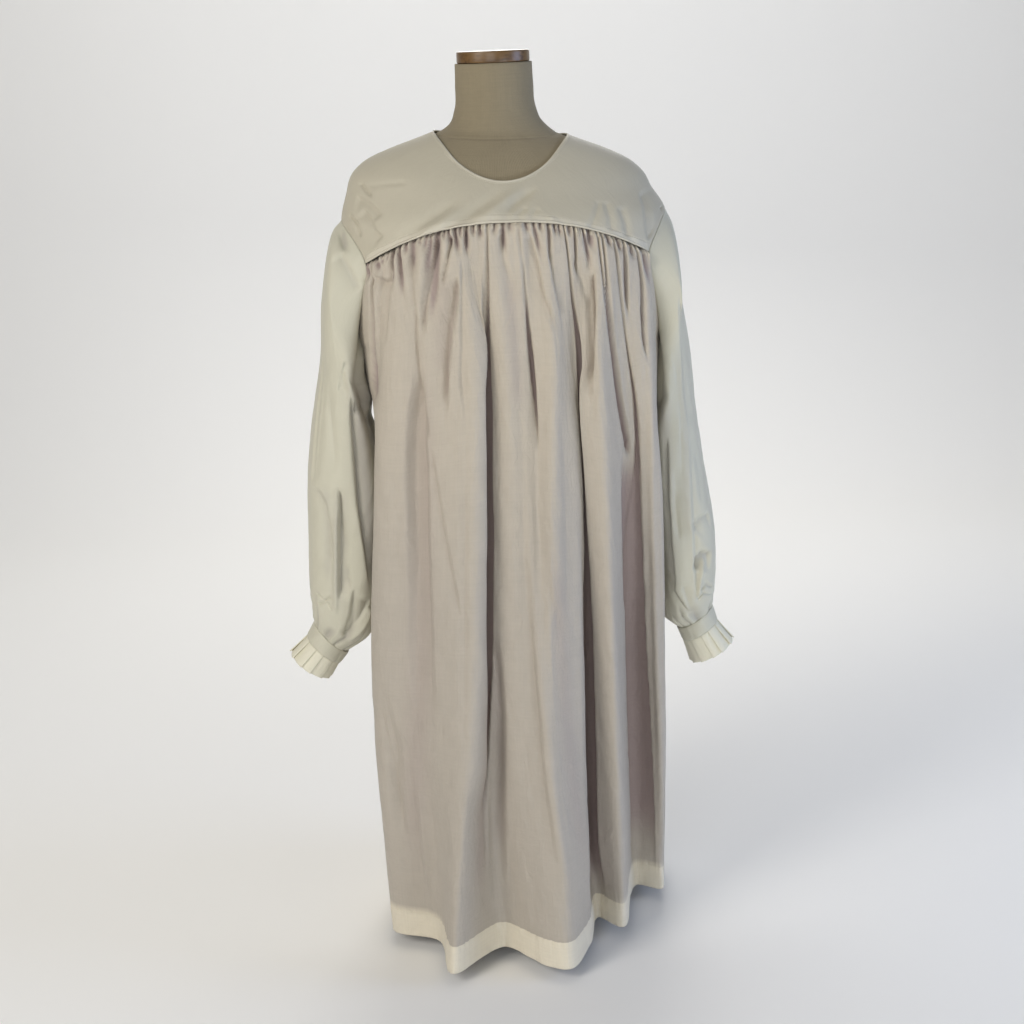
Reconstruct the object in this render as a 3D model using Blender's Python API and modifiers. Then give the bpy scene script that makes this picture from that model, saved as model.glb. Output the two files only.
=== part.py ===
"""A rochet on a dress form, built as the real one is cut and sewn.

Metres, +Z up, the front towards -Y. The origin is the middle of the stand's underside.
The cloth is a thin wall. Each sewn piece is one object.
"""
import math

import bmesh
import bpy
import numpy as np

# Cloth and clearances
WALL = 0.0015            # cloth with its seam allowance, as one wall
BAND_WALL = 0.0022       # wristband, two layers and a stiffening
FRILL_WALL = 0.0012      # frill, one pressed layer
REST = 0.0003            # between two solids that stand on each other
SEAM = 0.0004            # between two pieces that are sewn together
YOKE_SEAM = 0.0006       # between the yoke and the gathers under it
ARMHOLE_SEAM = 0.0007    # between the armhole and the sleeve set into it
HEM_Z = 0.019            # the lowest edge above the floor
HEM_BAND = 0.040         # turned-up hem
YOKE_MID_Z = 1.0555      # yoke seam at the middle
YOKE_END_DROP = 0.0525   # how far the seam falls to the armhole
GARMENT_X = 0.008        # the skirt hangs this far to the right of the form
NECK_X = 0.006           # and the neck opening this far
SHOULDER_LEAN = -0.036   # left shoulder a little up, right one a little down

# The body of the cloth: height, half width, front depth, back depth
TRUNK = (
    (1.1680, 0.081, 0.050, 0.060),
    (1.1580, 0.106, 0.0585, 0.072),
    (1.1440, 0.145, 0.0690, 0.086),
    (1.1310, 0.175, 0.0790, 0.0950),
    (1.1150, 0.196, 0.0930, 0.103),
    (1.0850, 0.211, 0.1160, 0.116),
    (1.0550, 0.2235, 0.1375, 0.126),
    (1.0300, 0.2245, 0.148, 0.131),
    (1.0000, 0.223, 0.155, 0.134),
    (0.9540, 0.221, 0.158, 0.137),
    (0.8850, 0.217, 0.160, 0.139),
    (0.8300, 0.197, 0.163, 0.141),
    (0.7650, 0.180, 0.166, 0.143),
    (0.6500, 0.179, 0.172, 0.148),
    (0.4500, 0.193, 0.180, 0.158),
    (0.2500, 0.203, 0.188, 0.166),
    (0.0100, 0.198, 0.195, 0.174),
)
# How far back the side seams lie: height, left, right
SIDE_SEAM = (
    (1.06, 0.0, 0.0),
    (0.885, 0.0, 0.0),
    (0.65, 0.004, 0.006),
    (0.42, 0.010, 0.018),
    (0.22, 0.016, 0.044),
    (0.01, 0.020, 0.080),
)
# Neck opening in plan: half width, front depth, back depth
NECKLINE = (0.091, 0.100, 0.078)

# Armhole: clock angle from the shoulder by way of the front, height, angle round the body from the side
ARMHOLE = (
    (0, 1.0550, 0.0),
    (30, 1.0470, 14.0),
    (60, 1.0300, 24.0),
    (90, 1.0030, 31.0),
    (115, 0.9750, 28.5),
    (140, 0.9400, 19.5),
    (160, 0.9050, 9.5),
    (180, 0.8850, 0.0),
    (202, 0.9050, -9.5),
    (230, 0.9450, -20.0),
    (255, 0.9850, -26.0),
    (270, 1.0080, -27.0),
    (300, 1.0350, -21.0),
    (330, 1.0480, -11.5),
    (360, 1.0550, 0.0),
)

# Front folds: share of the cloth's width, share of the yoke seam, then x and y at chest, waist, thigh and hem
FOLD_HEIGHTS = (0.90, 0.70, 0.42, HEM_Z)
FRONT_FOLDS = (
    ("left corner", 0.085, 0.035, -0.172, -0.108, -0.187, -0.110, -0.208, -0.108, -0.200, -0.100),
    ("left dip", 0.170, 0.165, -0.118, -0.142, -0.128, -0.150, -0.142, -0.160, -0.132, -0.139),
    ("left ridge", 0.265, 0.335, -0.050, -0.160, -0.059, -0.182, -0.072, -0.205, -0.111, -0.237),
    ("middle trough", 0.365, 0.415, -0.023, -0.146, -0.029, -0.156, -0.043, -0.172, -0.034, -0.166),
    ("low ridge", 0.420, 0.475, 0.003, -0.160, 0.004, -0.172, -0.003, -0.192, 0.004, -0.205),
    ("low dip", 0.455, 0.555, 0.0335, -0.151, 0.031, -0.168, 0.022, -0.198, 0.026, -0.228),
    ("middle ridge", 0.500, 0.610, 0.062, -0.162, 0.054, -0.184, 0.047, -0.212, 0.058, -0.236),
    ("ridge side", 0.560, 0.665, 0.080, -0.150, 0.083, -0.166, 0.085, -0.182, 0.086, -0.170),
    ("deep trough", 0.650, 0.715, 0.097, -0.138, 0.1025, -0.138, 0.101, -0.120, 0.101, -0.090),
    ("right ridge", 0.745, 0.800, 0.125, -0.150, 0.129, -0.160, 0.133, -0.158, 0.140, -0.120),
    ("right trough", 0.860, 0.885, 0.160, -0.122, 0.165, -0.112, 0.165, -0.065, 0.166, 0.010),
    ("right corner", 0.935, 0.955, 0.196, -0.106, 0.2085, -0.100, 0.211, -0.078, 0.207, -0.002),
)
# Back folds: share of the width (0 is the right side), how far out at chest, waist, thigh and hem
BACK_FOLDS = (
    (0.08, 0.000, 0.004, 0.008, 0.014),
    (0.16, -0.004, -0.010, -0.020, -0.030),
    (0.27, 0.004, 0.008, 0.016, 0.028),
    (0.36, -0.004, -0.010, -0.022, -0.040),
    (0.46, 0.005, 0.012, 0.022, 0.032),
    (0.56, -0.005, -0.012, -0.026, -0.046),
    (0.66, 0.005, 0.010, 0.020, 0.030),
    (0.75, -0.004, -0.010, -0.020, -0.036),
    (0.84, 0.003, 0.006, 0.014, 0.024),
    (0.93, 0.000, -0.004, -0.010, -0.018),
)
FRONT_GATHERS = 28
BACK_GATHERS = 22
GATHER = 0.0032          # how far a gather stands out
# Rows of the panels: drops below the seam beside the armhole, then shares of what is left
FRONT_DROPS = (0, 0.007, 0.018, 0.036, 0.066, 0.110, 0.165)
BACK_DROPS = (0, 0.010, 0.028, 0.065, 0.100, 0.130, 0.165)
BELOW_ARMHOLE = (0.08, 0.19, 0.31, 0.43, 0.56, 0.69, 0.82)

# Sleeves, a row a ring: outer x and z, inner x and z, front y, back y. The last row meets the wristband.
LEFT_SLEEVE = (
    (-0.2355, 1.030, -0.2235, 0.8795, -0.078, 0.062),
    (-0.2520, 0.950, -0.2190, 0.848, -0.080, 0.066),
    (-0.2600, 0.864, -0.2060, 0.800, -0.076, 0.068),
    (-0.2775, 0.778, -0.1950, 0.745, -0.070, 0.068),
    (-0.2910, 0.690, -0.1880, 0.670, -0.066, 0.068),
    (-0.2965, 0.600, -0.1900, 0.590, -0.064, 0.068),
    (-0.3000, 0.528, -0.1980, 0.515, -0.062, 0.064),
    (-0.2985, 0.490, -0.2080, 0.460, -0.052, 0.056),
    (-0.2960, 0.470, -0.2510, 0.4245, -0.029, 0.039),
)
RIGHT_SLEEVE = (
    (0.2405, 1.020, 0.2395, 0.8795, -0.078, 0.062),
    (0.2490, 0.935, 0.2350, 0.848, -0.080, 0.066),
    (0.2620, 0.850, 0.2200, 0.800, -0.074, 0.068),
    (0.2700, 0.765, 0.2080, 0.745, -0.066, 0.068),
    (0.2820, 0.680, 0.2020, 0.665, -0.064, 0.068),
    (0.2960, 0.590, 0.2030, 0.580, -0.064, 0.068),
    (0.2950, 0.520, 0.2090, 0.505, -0.062, 0.064),
    (0.2900, 0.490, 0.2150, 0.465, -0.052, 0.056),
    (0.2875, 0.472, 0.2375, 0.440, -0.029, 0.039),
)
# Wristband foot and frill foot, in the same columns
LEFT_CUFF = (
    (-0.3085, 0.4495, -0.2635, 0.4080, -0.029, 0.039),
    (-0.3355, 0.4265, -0.2790, 0.3840, -0.036, 0.046),
)
RIGHT_CUFF = (
    (0.2945, 0.4490, 0.2450, 0.4200, -0.029, 0.039),
    (0.3182, 0.4185, 0.2576, 0.3860, -0.036, 0.046),
)
WRIST_GATHERS = 12
FRILL_PLEATS = 12

# The dress form: height, half width, front depth, back depth
FORM = (
    (0.4500, 0.060, 0.045, 0.050),
    (0.4540, 0.115, 0.078, 0.083),
    (0.4700, 0.146, 0.098, 0.107),
    (0.5500, 0.165, 0.113, 0.126),
    (0.6400, 0.153, 0.108, 0.116),
    (0.7400, 0.127, 0.097, 0.092),
    (0.8300, 0.135, 0.108, 0.092),
    (0.9300, 0.156, 0.130, 0.102),
    (1.0200, 0.174, 0.127, 0.110),
    (1.0700, 0.182, 0.109, 0.108),
    (1.1050, 0.184, 0.0930, 0.102),
    (1.1200, 0.178, 0.0840, 0.097),
    (1.1310, 0.163, 0.0765, 0.0915),
    (1.1405, 0.144, 0.0690, 0.0855),
    (1.1545, 0.105, 0.0585, 0.0715),
    (1.1645, 0.081, 0.0505, 0.0605),
    (1.1760, 0.065, 0.0490, 0.0560),
    (1.1960, 0.0555, 0.0485, 0.0520),
    (1.2300, 0.0528, 0.0490, 0.0495),
    (1.2615, 0.0520, 0.0490, 0.0490),
)
CAP_RADIUS = 0.048
CAP_HEIGHT = 0.016
POLE_RADIUS = 0.0125
BASE_RADIUS = 0.112
BASE_HEIGHT = 0.010
HUB_RADIUS = 0.030
HUB_HEIGHT = 0.030


def ease(low, high, x):
    t = np.clip((np.asarray(x, float) - low) / (high - low), 0.0, 1.0)
    return t * t * (3 - 2 * t)


def through(knots, values, at):
    """A smooth line through a table's values, read at the places given."""
    k = np.asarray(knots, float)
    v = np.asarray(values, float)
    at = np.clip(np.asarray(at, float), k[0], k[-1])
    slope = np.gradient(v, k, axis=0)
    i = np.clip(np.searchsorted(k, at, side="right") - 1, 0, len(k) - 2)
    h = k[i + 1] - k[i]
    t = (at - k[i]) / h
    for _ in range(v.ndim - 1):
        h = h[..., None]
        t = t[..., None]
    return ((2 * t**3 - 3 * t**2 + 1) * v[i] + (t**3 - 2 * t**2 + t) * h * slope[i]
            + (3 * t**2 - 2 * t**3) * v[i + 1] + (t**3 - t**2) * h * slope[i + 1])


def table(rows, column):
    return [row[column] for row in rows]


def section(rows, z):
    """Half width, front depth and back depth at each height."""
    knots = table(rows, 0)[::-1] if rows[0][0] > rows[-1][0] else table(rows, 0)
    values = [row[1:] for row in (rows[::-1] if rows[0][0] > rows[-1][0] else rows)]
    return through(knots, values, z)


def side_back(z, side):
    return through(table(SIDE_SEAM, 0)[::-1], table(SIDE_SEAM, 1 if side < 0 else 2)[::-1], z)


def trunk(angle, z):
    """A place on the body of the cloth. Angle 0 is the left side, a quarter turn is the front."""
    angle, z = np.broadcast_arrays(np.asarray(angle, float), np.asarray(z, float))
    size = section(TRUNK, z)
    across = -np.cos(angle)
    out = np.sin(angle)
    depth = np.where(out > 0, size[..., 1], size[..., 2])
    x = GARMENT_X * (1 - ease(1.02, 1.10, z)) + size[..., 0] * across
    near_side = np.abs(across) ** 3
    y = -depth * out + near_side * np.where(across < 0, side_back(z, -1), side_back(z, 1))
    lift = SHOULDER_LEAN * x * ease(1.05, 1.12, z)
    return np.stack([x, y, z + lift], -1)


def armhole(clock):
    """Height and angle from the side, at a clock angle in degrees."""
    rows = through(table(ARMHOLE, 0), [row[1:] for row in ARMHOLE], np.mod(clock, 360.0))
    return rows[..., 0], np.radians(rows[..., 1])


def armhole_place(clock, side):
    z, away = armhole(clock)
    return trunk(away if side < 0 else math.pi - away, z)


def yoke_seam_z(angle):
    """Height of the yoke's lower seam, front and back, at an angle round the body."""
    share = np.abs(np.cos(angle)) * 0.2235 / 0.1911
    return YOKE_MID_Z - YOKE_END_DROP * np.minimum(share, 1.0) ** 2.3


def grid_normals(grid, around):
    """Unit normals of a grid, each lengthened so that the wall keeps its thickness at a bend."""
    if around:
        wide = np.concatenate([grid[:, -1:], grid, grid[:, :1]], 1)
    else:
        first = 2 * grid[:, :1] - grid[:, 1:2]
        last = 2 * grid[:, -1:] - grid[:, -2:-1]
        wide = np.concatenate([first, grid, last], 1)
    tall = np.concatenate([2 * wide[:1] - wide[1:2], wide, 2 * wide[-1:] - wide[-2:-1]], 0)
    a = tall[:-1, 1:] - tall[:-1, :-1]
    b = tall[1:, :-1] - tall[:-1, :-1]
    face = np.cross(a, b)
    face /= np.maximum(np.linalg.norm(face, axis=-1, keepdims=True), 1e-12)
    quad = [face[:-1, :-1], face[1:, :-1], face[:-1, 1:], face[1:, 1:]]
    mean = sum(quad)
    mean /= np.maximum(np.linalg.norm(mean, axis=-1, keepdims=True), 1e-12)
    dots = sum((mean * q).sum(-1) for q in quad) / 4
    return mean / np.clip(dots, 0.62, 1.0)[..., None]


def strip(a, b, closed):
    """Faces between two rows of vertex numbers. One row may have twice as many columns."""
    faces = []
    if len(a) == len(b):
        count = len(a) if closed else len(a) - 1
        for j in range(count):
            k = (j + 1) % len(a)
            faces.append((a[j], a[k], b[k], b[j]))
        return faces
    fine, coarse, turned = (a, b, False) if len(a) > len(b) else (b, a, True)
    count = len(coarse) if closed else len(coarse) - 1
    for j in range(count):
        k = (j + 1) % len(coarse)
        left, middle, right = fine[2 * j], fine[2 * j + 1], fine[(2 * j + 2) % len(fine)]
        for face in ((left, middle, coarse[j]), (middle, coarse[k], coarse[j]), (middle, right, coarse[k])):
            faces.append(face[::-1] if turned else face)
    return faces


def shell(name, outer, inner, closed, material):
    """One closed wall from the rows of its two faces."""
    points, numbers = [], []
    for rows in (outer, inner):
        side = []
        for row in rows:
            side.append(list(range(len(points), len(points) + len(row))))
            points.extend(map(tuple, row))
        numbers.append(side)
    out, back = numbers
    faces = []
    for i in range(len(out) - 1):
        faces += strip(out[i], out[i + 1], closed)
        faces += [face[::-1] for face in strip(back[i], back[i + 1], closed)]
    faces += strip(back[0], out[0], closed)
    faces += strip(out[-1], back[-1], closed)
    if not closed:
        faces += strip([row[0] for row in out], [row[0] for row in back], False)
        faces += strip([row[-1] for row in back], [row[-1] for row in out], False)
    return solid(name, points, faces, material)


def solid(name, points, faces, material):
    """One closed object with its faces pointing out."""
    mesh = bpy.data.meshes.new(name)
    mesh.from_pydata([tuple(map(float, p)) for p in points], [], faces)
    form = bmesh.new()
    form.from_mesh(mesh)
    bmesh.ops.recalc_face_normals(form, faces=form.faces)
    if form.calc_volume(signed=True) < 0:
        bmesh.ops.reverse_faces(form, faces=form.faces)
    form.to_mesh(mesh)
    form.free()
    mesh.materials.append(material)
    made = bpy.data.objects.new(name, mesh)
    GARMENT.objects.link(made)
    return made


def flat_end(out, row):
    """The wall's direction at a tube's cut end, laid in the plane of the cut."""
    spokes = row - row.mean(0)
    axis = np.cross(spokes, np.roll(spokes, -1, 0)).sum(0)
    axis /= np.linalg.norm(axis)
    out = out - (out @ axis)[:, None] * axis
    return out / np.linalg.norm(out, axis=1, keepdims=True)


def level(out):
    """The wall's direction at a seam, laid level."""
    out = out * np.array([1.0, 1.0, 0.0])
    return out / np.linalg.norm(out, axis=-1, keepdims=True)


def cloth(name, grid, wall, closed, material, fine_rows=(0, 99), sides=None, side_from=6,
          level_row=None, level_columns=slice(None), shoulders=False, flat_rows=(), first=None):
    """A wall about a grid of places. Rows outside fine_rows keep every second column.

    sides is -1 or 1 for a panel whose first side seam is on the left or the right. level_row is
    the row at the yoke seam, and shoulders squares the wall's ends to the shoulder seams.
    flat_rows are a tube's cut ends, and first is the wall's direction in the first row where it
    is given.
    """
    rows = len(grid)
    fine = grid_normals(grid, closed)
    coarse = grid_normals(grid[:, ::2], closed)
    if level_row is not None:
        fine[level_row, level_columns] = level(fine[level_row, level_columns])
    if shoulders:
        ends = fine[:, [0, -1]] * np.array([1.0, 0.0, 1.0])
        fine[:, [0, -1]] = ends / np.linalg.norm(ends, axis=-1, keepdims=True)
    for row in flat_rows:
        fine[row] = flat_end(fine[row], grid[row])
    if first is not None:
        fine[0] = first
        coarse[0] = first[::2]
    if sides is not None:
        for column, out in ((0, sides), (-1, -sides)):
            for normals in (fine, coarse):
                normals[side_from:, column] = (out, 0.0, 0.0)
    low, high = fine_rows
    outer, inner = [], []
    for i in range(rows):
        if low <= i < high:
            place, out = grid[i], fine[i]
        else:
            place, out = grid[i, ::2], coarse[i]
        outer.append(place + out * wall / 2)
        inner.append(place - out * wall / 2)
    return shell(name, outer, inner, closed, material)


def loft(name, sections, sides, material):
    """A closed solid through level sections: height, half width, front depth, back depth."""
    turn = np.linspace(0, 2 * math.pi, sides, endpoint=False)
    points, rows = [], []
    for z, wide, front, back in sections:
        rows.append(list(range(len(points), len(points) + sides)))
        deep = np.where(np.sin(turn) < 0, front, back)
        points.extend(zip(wide * np.cos(turn), deep * np.sin(turn), [z] * sides))
    faces = [tuple(rows[0][::-1]), tuple(rows[-1])]
    for low, high in zip(rows, rows[1:]):
        faces += strip(low, high, True)
    return solid(name, points, faces, material)


def turned(name, profile, sides, material):
    """A turned solid. The profile runs down the outer side, as radius and height."""
    mesh = bpy.data.meshes.new(name)
    points = [(radius, 0.0, z) for radius, z in profile]
    mesh.from_pydata(points, [(n, n + 1) for n in range(len(points) - 1)], [])
    made = bpy.data.objects.new(name, mesh)
    mesh.materials.append(material)
    GARMENT.objects.link(made)
    screw = made.modifiers.new("turn", "SCREW")
    screw.steps = screw.render_steps = sides
    screw.use_merge_vertices = True
    screw.merge_threshold = 0.00001
    return made


def finish(name, colour, roughness, metallic=0.0):
    material = bpy.data.materials.new(name)
    material.use_nodes = True
    shader = material.node_tree.nodes["Principled BSDF"]
    shader.inputs["Base Color"].default_value = (*colour, 1)
    shader.inputs["Roughness"].default_value = roughness
    shader.inputs["Metallic"].default_value = metallic
    return material


def gather_places(count, seed):
    """Where each gather lies, as shares of the width, unevenly."""
    k = np.arange(count + 1, dtype=float)
    uneven = 0.30 * np.sin(1.9 * k + seed) + 0.22 * np.sin(4.3 * k + 2 * seed)
    uneven[0] = uneven[-1] = 0.0
    return (k + uneven) / count


def gather_columns(count, seed, per_gather):
    places = gather_places(count, seed)
    k = np.arange(count * per_gather + 1) / per_gather
    return np.interp(k, np.arange(count + 1), places), k


def gathering(k, drop, count, seed, reach):
    """How far the small gathers stand out, by gather number and by the drop below the seam."""
    length = reach * (0.75 + 0.35 * np.sin(2.3 * k + seed) + 0.2 * np.sin(5.1 * k))
    strength = (0.3 + 0.7 * ease(0.0, 0.016, drop)) * (1 - ease(0.25 * length, length, drop))
    small = GATHER * strength * np.cos(2 * math.pi * k)
    broad = ease(0.02, 0.09, drop) * (1 - ease(0.12, 0.42, drop))
    broad = 0.0030 * broad * np.cos(math.pi * k + 0.9 * np.sin(0.8 * k + seed))
    edge = ease(0.0, 1.5, np.minimum(k, count - k))
    return edge * (small + broad)


def panel_rows(top_drops, clocks, below):
    """Drops at the panel's middle and heights at its side, row by row."""
    side_z = list(armhole(np.asarray(clocks, float))[0])
    side_z[0] -= YOKE_SEAM
    full = YOKE_MID_Z - YOKE_SEAM - HEM_Z
    start, foot = top_drops[-1], side_z[-1]
    shares = list(below) + [1 - HEM_BAND / (foot - HEM_Z), 1.0]
    drops = list(top_drops) + [start + (full - start) * share for share in shares]
    side_z += [foot + (HEM_Z - foot) * share for share in shares]
    return np.array(drops), np.array(side_z)


def front_edge(z, side, clocks=(90, 180)):
    """The panel's side: the armhole, then the side seam."""
    dense = np.linspace(clocks[0], clocks[1], 61)
    hole_z, hole_away = armhole(dense)
    order = np.argsort(hole_z)
    away = np.interp(z, hole_z[order], hole_away[order], left=0.0)
    return trunk(away if side < 0 else math.pi - away, z)[..., :2]


def front_panel(columns, k, top_drops, clocks, below, reach=0.085):
    """The gathered front, as rows of places."""
    edge_away = armhole(90.0)[1]
    shares = [0.0] + table(FRONT_FOLDS, 1) + [1.0]
    seam_shares = [0.0] + table(FRONT_FOLDS, 2) + [1.0]
    seam_angle = edge_away + (math.pi - 2 * edge_away) * np.interp(columns, shares, seam_shares)
    top_z = yoke_seam_z(seam_angle) - YOKE_SEAM
    drops, edge_z = panel_rows(top_drops, clocks, below)
    full = drops[-1]
    middle = ease(0.0, 0.16, np.minimum(columns, 1 - columns))
    z_mid = top_z[None] - drops[:, None] * (top_z[None] - HEM_Z) / full
    z = z_mid * middle + edge_z[:, None] * (1 - middle)
    z[0] = top_z
    z[-1] = HEM_Z
    flat = z.ravel()
    count = len(FRONT_FOLDS)
    points = np.empty((flat.size, count + 2, 2))
    points[:, 0] = front_edge(flat, -1)
    points[:, -1] = front_edge(flat, 1)
    for n, row in enumerate(FRONT_FOLDS):
        angle = edge_away + (math.pi - 2 * edge_away) * row[2]
        start = trunk(angle, yoke_seam_z(angle))
        knots = [HEM_Z, *FOLD_HEIGHTS[-2::-1], float(start[2])]
        values = [row[3 + 2 * level:5 + 2 * level] for level in (3, 2, 1, 0)] + [tuple(start[:2])]
        points[:, n + 1] = through(knots, values, flat)
    at = np.tile(columns, len(drops))
    plan = along(np.array(shares), points, at).reshape(len(drops), len(columns), 2)
    grid = np.concatenate([plan, z[..., None]], -1)
    off_seam = (trunk(seam_angle, top_z) - grid[0])[None, :, :2]
    grid[..., :2] += off_seam * (1 - ease(0.0, 0.03, drops))[:, None, None]
    grid[:, 0, :2] = front_edge(z[:, 0], -1)
    grid[:, -1, :2] = front_edge(z[:, -1], 1)
    fall = top_z[None] - z
    stand = gathering(k[None], fall, FRONT_GATHERS, 0.6, reach)
    return grid + level(grid_normals(grid, False)) * stand[..., None]


def along(knots, points, at):
    """A smooth curve through each row of points, read at one share each."""
    slope = np.gradient(points, knots, axis=1)
    i = np.clip(np.searchsorted(knots, at, side="right") - 1, 0, len(knots) - 2)
    n = np.arange(len(at))
    h = (knots[i + 1] - knots[i])[:, None]
    t = ((at - knots[i]) / (knots[i + 1] - knots[i]))[:, None]
    return ((2 * t**3 - 3 * t**2 + 1) * points[n, i] + (t**3 - 2 * t**2 + t) * h * slope[n, i]
            + (3 * t**2 - 2 * t**3) * points[n, i + 1] + (t**3 - t**2) * h * slope[n, i + 1])


def back_panel(columns, k, top_drops, clocks, below, reach=0.085):
    """The gathered back, from the right side to the left."""
    edge_away = -armhole(270.0)[1]
    drops, edge_z = panel_rows(top_drops, clocks, below)
    seam_angle = math.pi + edge_away + (math.pi - 2 * edge_away) * columns
    top_z = back_seam_z(seam_angle) - YOKE_SEAM
    full = drops[-1]
    middle = ease(0.0, 0.16, np.minimum(columns, 1 - columns))
    z_mid = top_z[None] - drops[:, None] * (top_z[None] - HEM_Z) / full
    z = z_mid * middle + edge_z[:, None] * (1 - middle)
    z[0] = top_z
    z[-1] = HEM_Z
    dense = np.linspace(180, 270, 61)
    hole_z, hole_away = armhole(dense)
    away = np.interp(z, hole_z, -hole_away, left=0.0)
    angle = math.pi + away + (math.pi - 2 * away) * columns[None]
    grid = trunk(angle, z)
    knots = [0.0] + table(BACK_FOLDS, 0) + [1.0]
    levels = [through(knots, [0.0] + table(BACK_FOLDS, c) + [0.0], columns) for c in (4, 3, 2, 1)]
    folds = np.stack(levels + [np.zeros_like(columns)], 0)
    heights = [HEM_Z, *FOLD_HEIGHTS[-2::-1], 1.03]
    amount = np.stack([through(heights, folds[:, j], z[:, j]) for j in range(len(columns))], 1)
    fall = top_z[None] - z
    amount = amount + gathering(k[None], fall, BACK_GATHERS, 2.1, reach)
    return grid + level(grid_normals(grid, False)) * amount[..., None]


def back_seam_z(angle):
    """The back yoke's seam is a little flatter and meets the armhole at its own corner."""
    corner_z, corner_away = armhole(270.0)
    share = np.abs(np.cos(angle)) / math.cos(corner_away)
    return 1.048 - (1.048 - corner_z) * np.minimum(share, 1.0) ** 2.3


def neckline_place(turn):
    """Angle round the body and height of the neck opening at a turn in plan."""
    half, front, back = NECKLINE
    x = NECK_X - half * math.cos(turn)
    y = -(front if math.sin(turn) > 0 else back) * math.sin(turn)
    low, high = 1.02, 1.168
    for _ in range(40):
        z = (low + high) / 2
        size = section(TRUNK, z)
        depth = size[1] if y < 0 else size[2]
        if (x / size[0]) ** 2 + (y / depth) ** 2 > 1:
            high = z
        else:
            low = z
    return math.atan2(-y / depth, -x / size[0]), z


def yoke(front, hole_steps, seam_steps, rows):
    """Half of the yoke, from the neck opening out to the armholes and the seam."""
    clocks = np.linspace(0, 90, hole_steps + 1) if front else np.linspace(360, 270, hole_steps + 1)
    hole_z, hole_away = armhole(clocks)
    hole_away = np.abs(hole_away)
    hole_z = np.where(np.abs(clocks - 360) < 1e-6, ARMHOLE[0][1], hole_z)
    inner_turn = 0.42
    ends = [(away, z) for away, z in zip(hole_away, hole_z)]
    seam_angles = np.linspace(hole_away[-1], math.pi - hole_away[-1], seam_steps + 1)[1:-1]
    seam_z = yoke_seam_z(seam_angles) if front else back_seam_z(seam_angles)
    ends += list(zip(seam_angles, seam_z))
    ends += [(math.pi - away, z) for away, z in zip(hole_away[::-1], hole_z[::-1])]
    turns = np.concatenate([
        np.linspace(0, inner_turn, hole_steps + 1),
        np.linspace(inner_turn, math.pi - inner_turn, seam_steps + 1)[1:-1],
        np.linspace(math.pi - inner_turn, math.pi, hole_steps + 1),
    ])
    grid = np.empty((rows + 1, len(ends), 3))
    share = np.linspace(0, 1, rows + 1)
    for j, (turn, (angle_end, z_end)) in enumerate(zip(turns, ends)):
        facing = 1 if front else -1
        angle, z = neckline_place(facing * turn)
        angle_end *= facing
        if j == 0:
            angle = 0.0
        if j == len(ends) - 1:
            angle = facing * math.pi
        grid[:, j] = trunk(angle + (angle_end - angle) * share, z + (z_end - z) * share)
    step = SEAM / 2 * (-1 if front else 1)
    grid[:, 0, 1] += step
    grid[:, -1, 1] += step
    return grid


def armhole_start(clocks, side):
    """Where the sleeve starts inside the armhole, and which way its wall faces there."""
    z, away = armhole(clocks)
    angle = away if side < 0 else math.pi - away
    place = trunk(angle, z)
    round_it = trunk(angle + 0.01, z) - trunk(angle - 0.01, z)
    up = trunk(angle, z + 0.001) - trunk(angle, z - 0.001)
    out = np.cross(round_it, up)
    out /= np.linalg.norm(out, axis=-1, keepdims=True)
    out *= np.sign((out[..., 0] * side).sum())
    centre = armhole_place(np.array([0.0, 90.0, 180.0, 270.0]), side).mean(0)
    inward = centre - place
    inward -= (inward * out).sum(-1, keepdims=True) * out
    inward /= np.linalg.norm(inward, axis=-1, keepdims=True)
    from_top = np.minimum(clocks, 360 - clocks)
    turned = (math.pi / 2 * ease(5, 140, from_top))[:, None]
    shrink = ARMHOLE_SEAM + WALL / 2 * np.sin(turned) + 0.0010 * ease(110, 180, from_top)[:, None]
    return place + inward * shrink, out * np.cos(turned) - inward * np.sin(turned)


def sleeve(side, clocks, steps):
    """A sleeve as rings from the armhole to the wristband, at steps counted in table rows."""
    rows = LEFT_SLEEVE if side < 0 else RIGHT_SLEEVE
    turn = np.radians(clocks)
    rings = [armhole_start(clocks, side)[0]]
    for row in rows:
        rings.append(ring(row, turn))
    rings = np.array(rings)
    grid = through(np.arange(len(rings)), rings, np.asarray(steps, float))
    middle = grid.mean(1, keepdims=True)
    out = grid - middle
    out /= np.linalg.norm(out, axis=-1, keepdims=True)
    t = np.asarray(steps, float)[:, None]
    length = ease(0.6, 2.5, t) * (1 - ease(7.6, 8.6, t))
    folds = 0.0035 * np.cos(3 * turn[None] + 0.8 * side + 0.25 * t)
    folds = folds + 0.0030 * np.cos(5 * turn[None] + 1.7 + 0.2 * t)
    wrist = ease(7.3, 8.3, t) * (1 - ease(8.6, 9.0, t))
    gathers = 0.0034 * np.cos(WRIST_GATHERS * turn[None])
    return grid + out * (length * folds + wrist * gathers)[..., None]


def ring(row, turn):
    """A ring from its outer and inner places and its front and back depths."""
    outer = np.array([row[0], 0.0, row[1]])
    inner = np.array([row[2], 0.0, row[3]])
    middle = (outer + inner) / 2
    depth = np.where(np.sin(turn) > 0, row[4], -row[5])
    y_mid = (row[4] + row[5]) / 2
    place = middle + (outer - middle) * np.cos(turn)[..., None]
    place[..., 1] = y_mid + (depth + np.where(np.sin(turn) > 0, -y_mid, y_mid)) * np.sin(turn)
    return place


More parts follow.
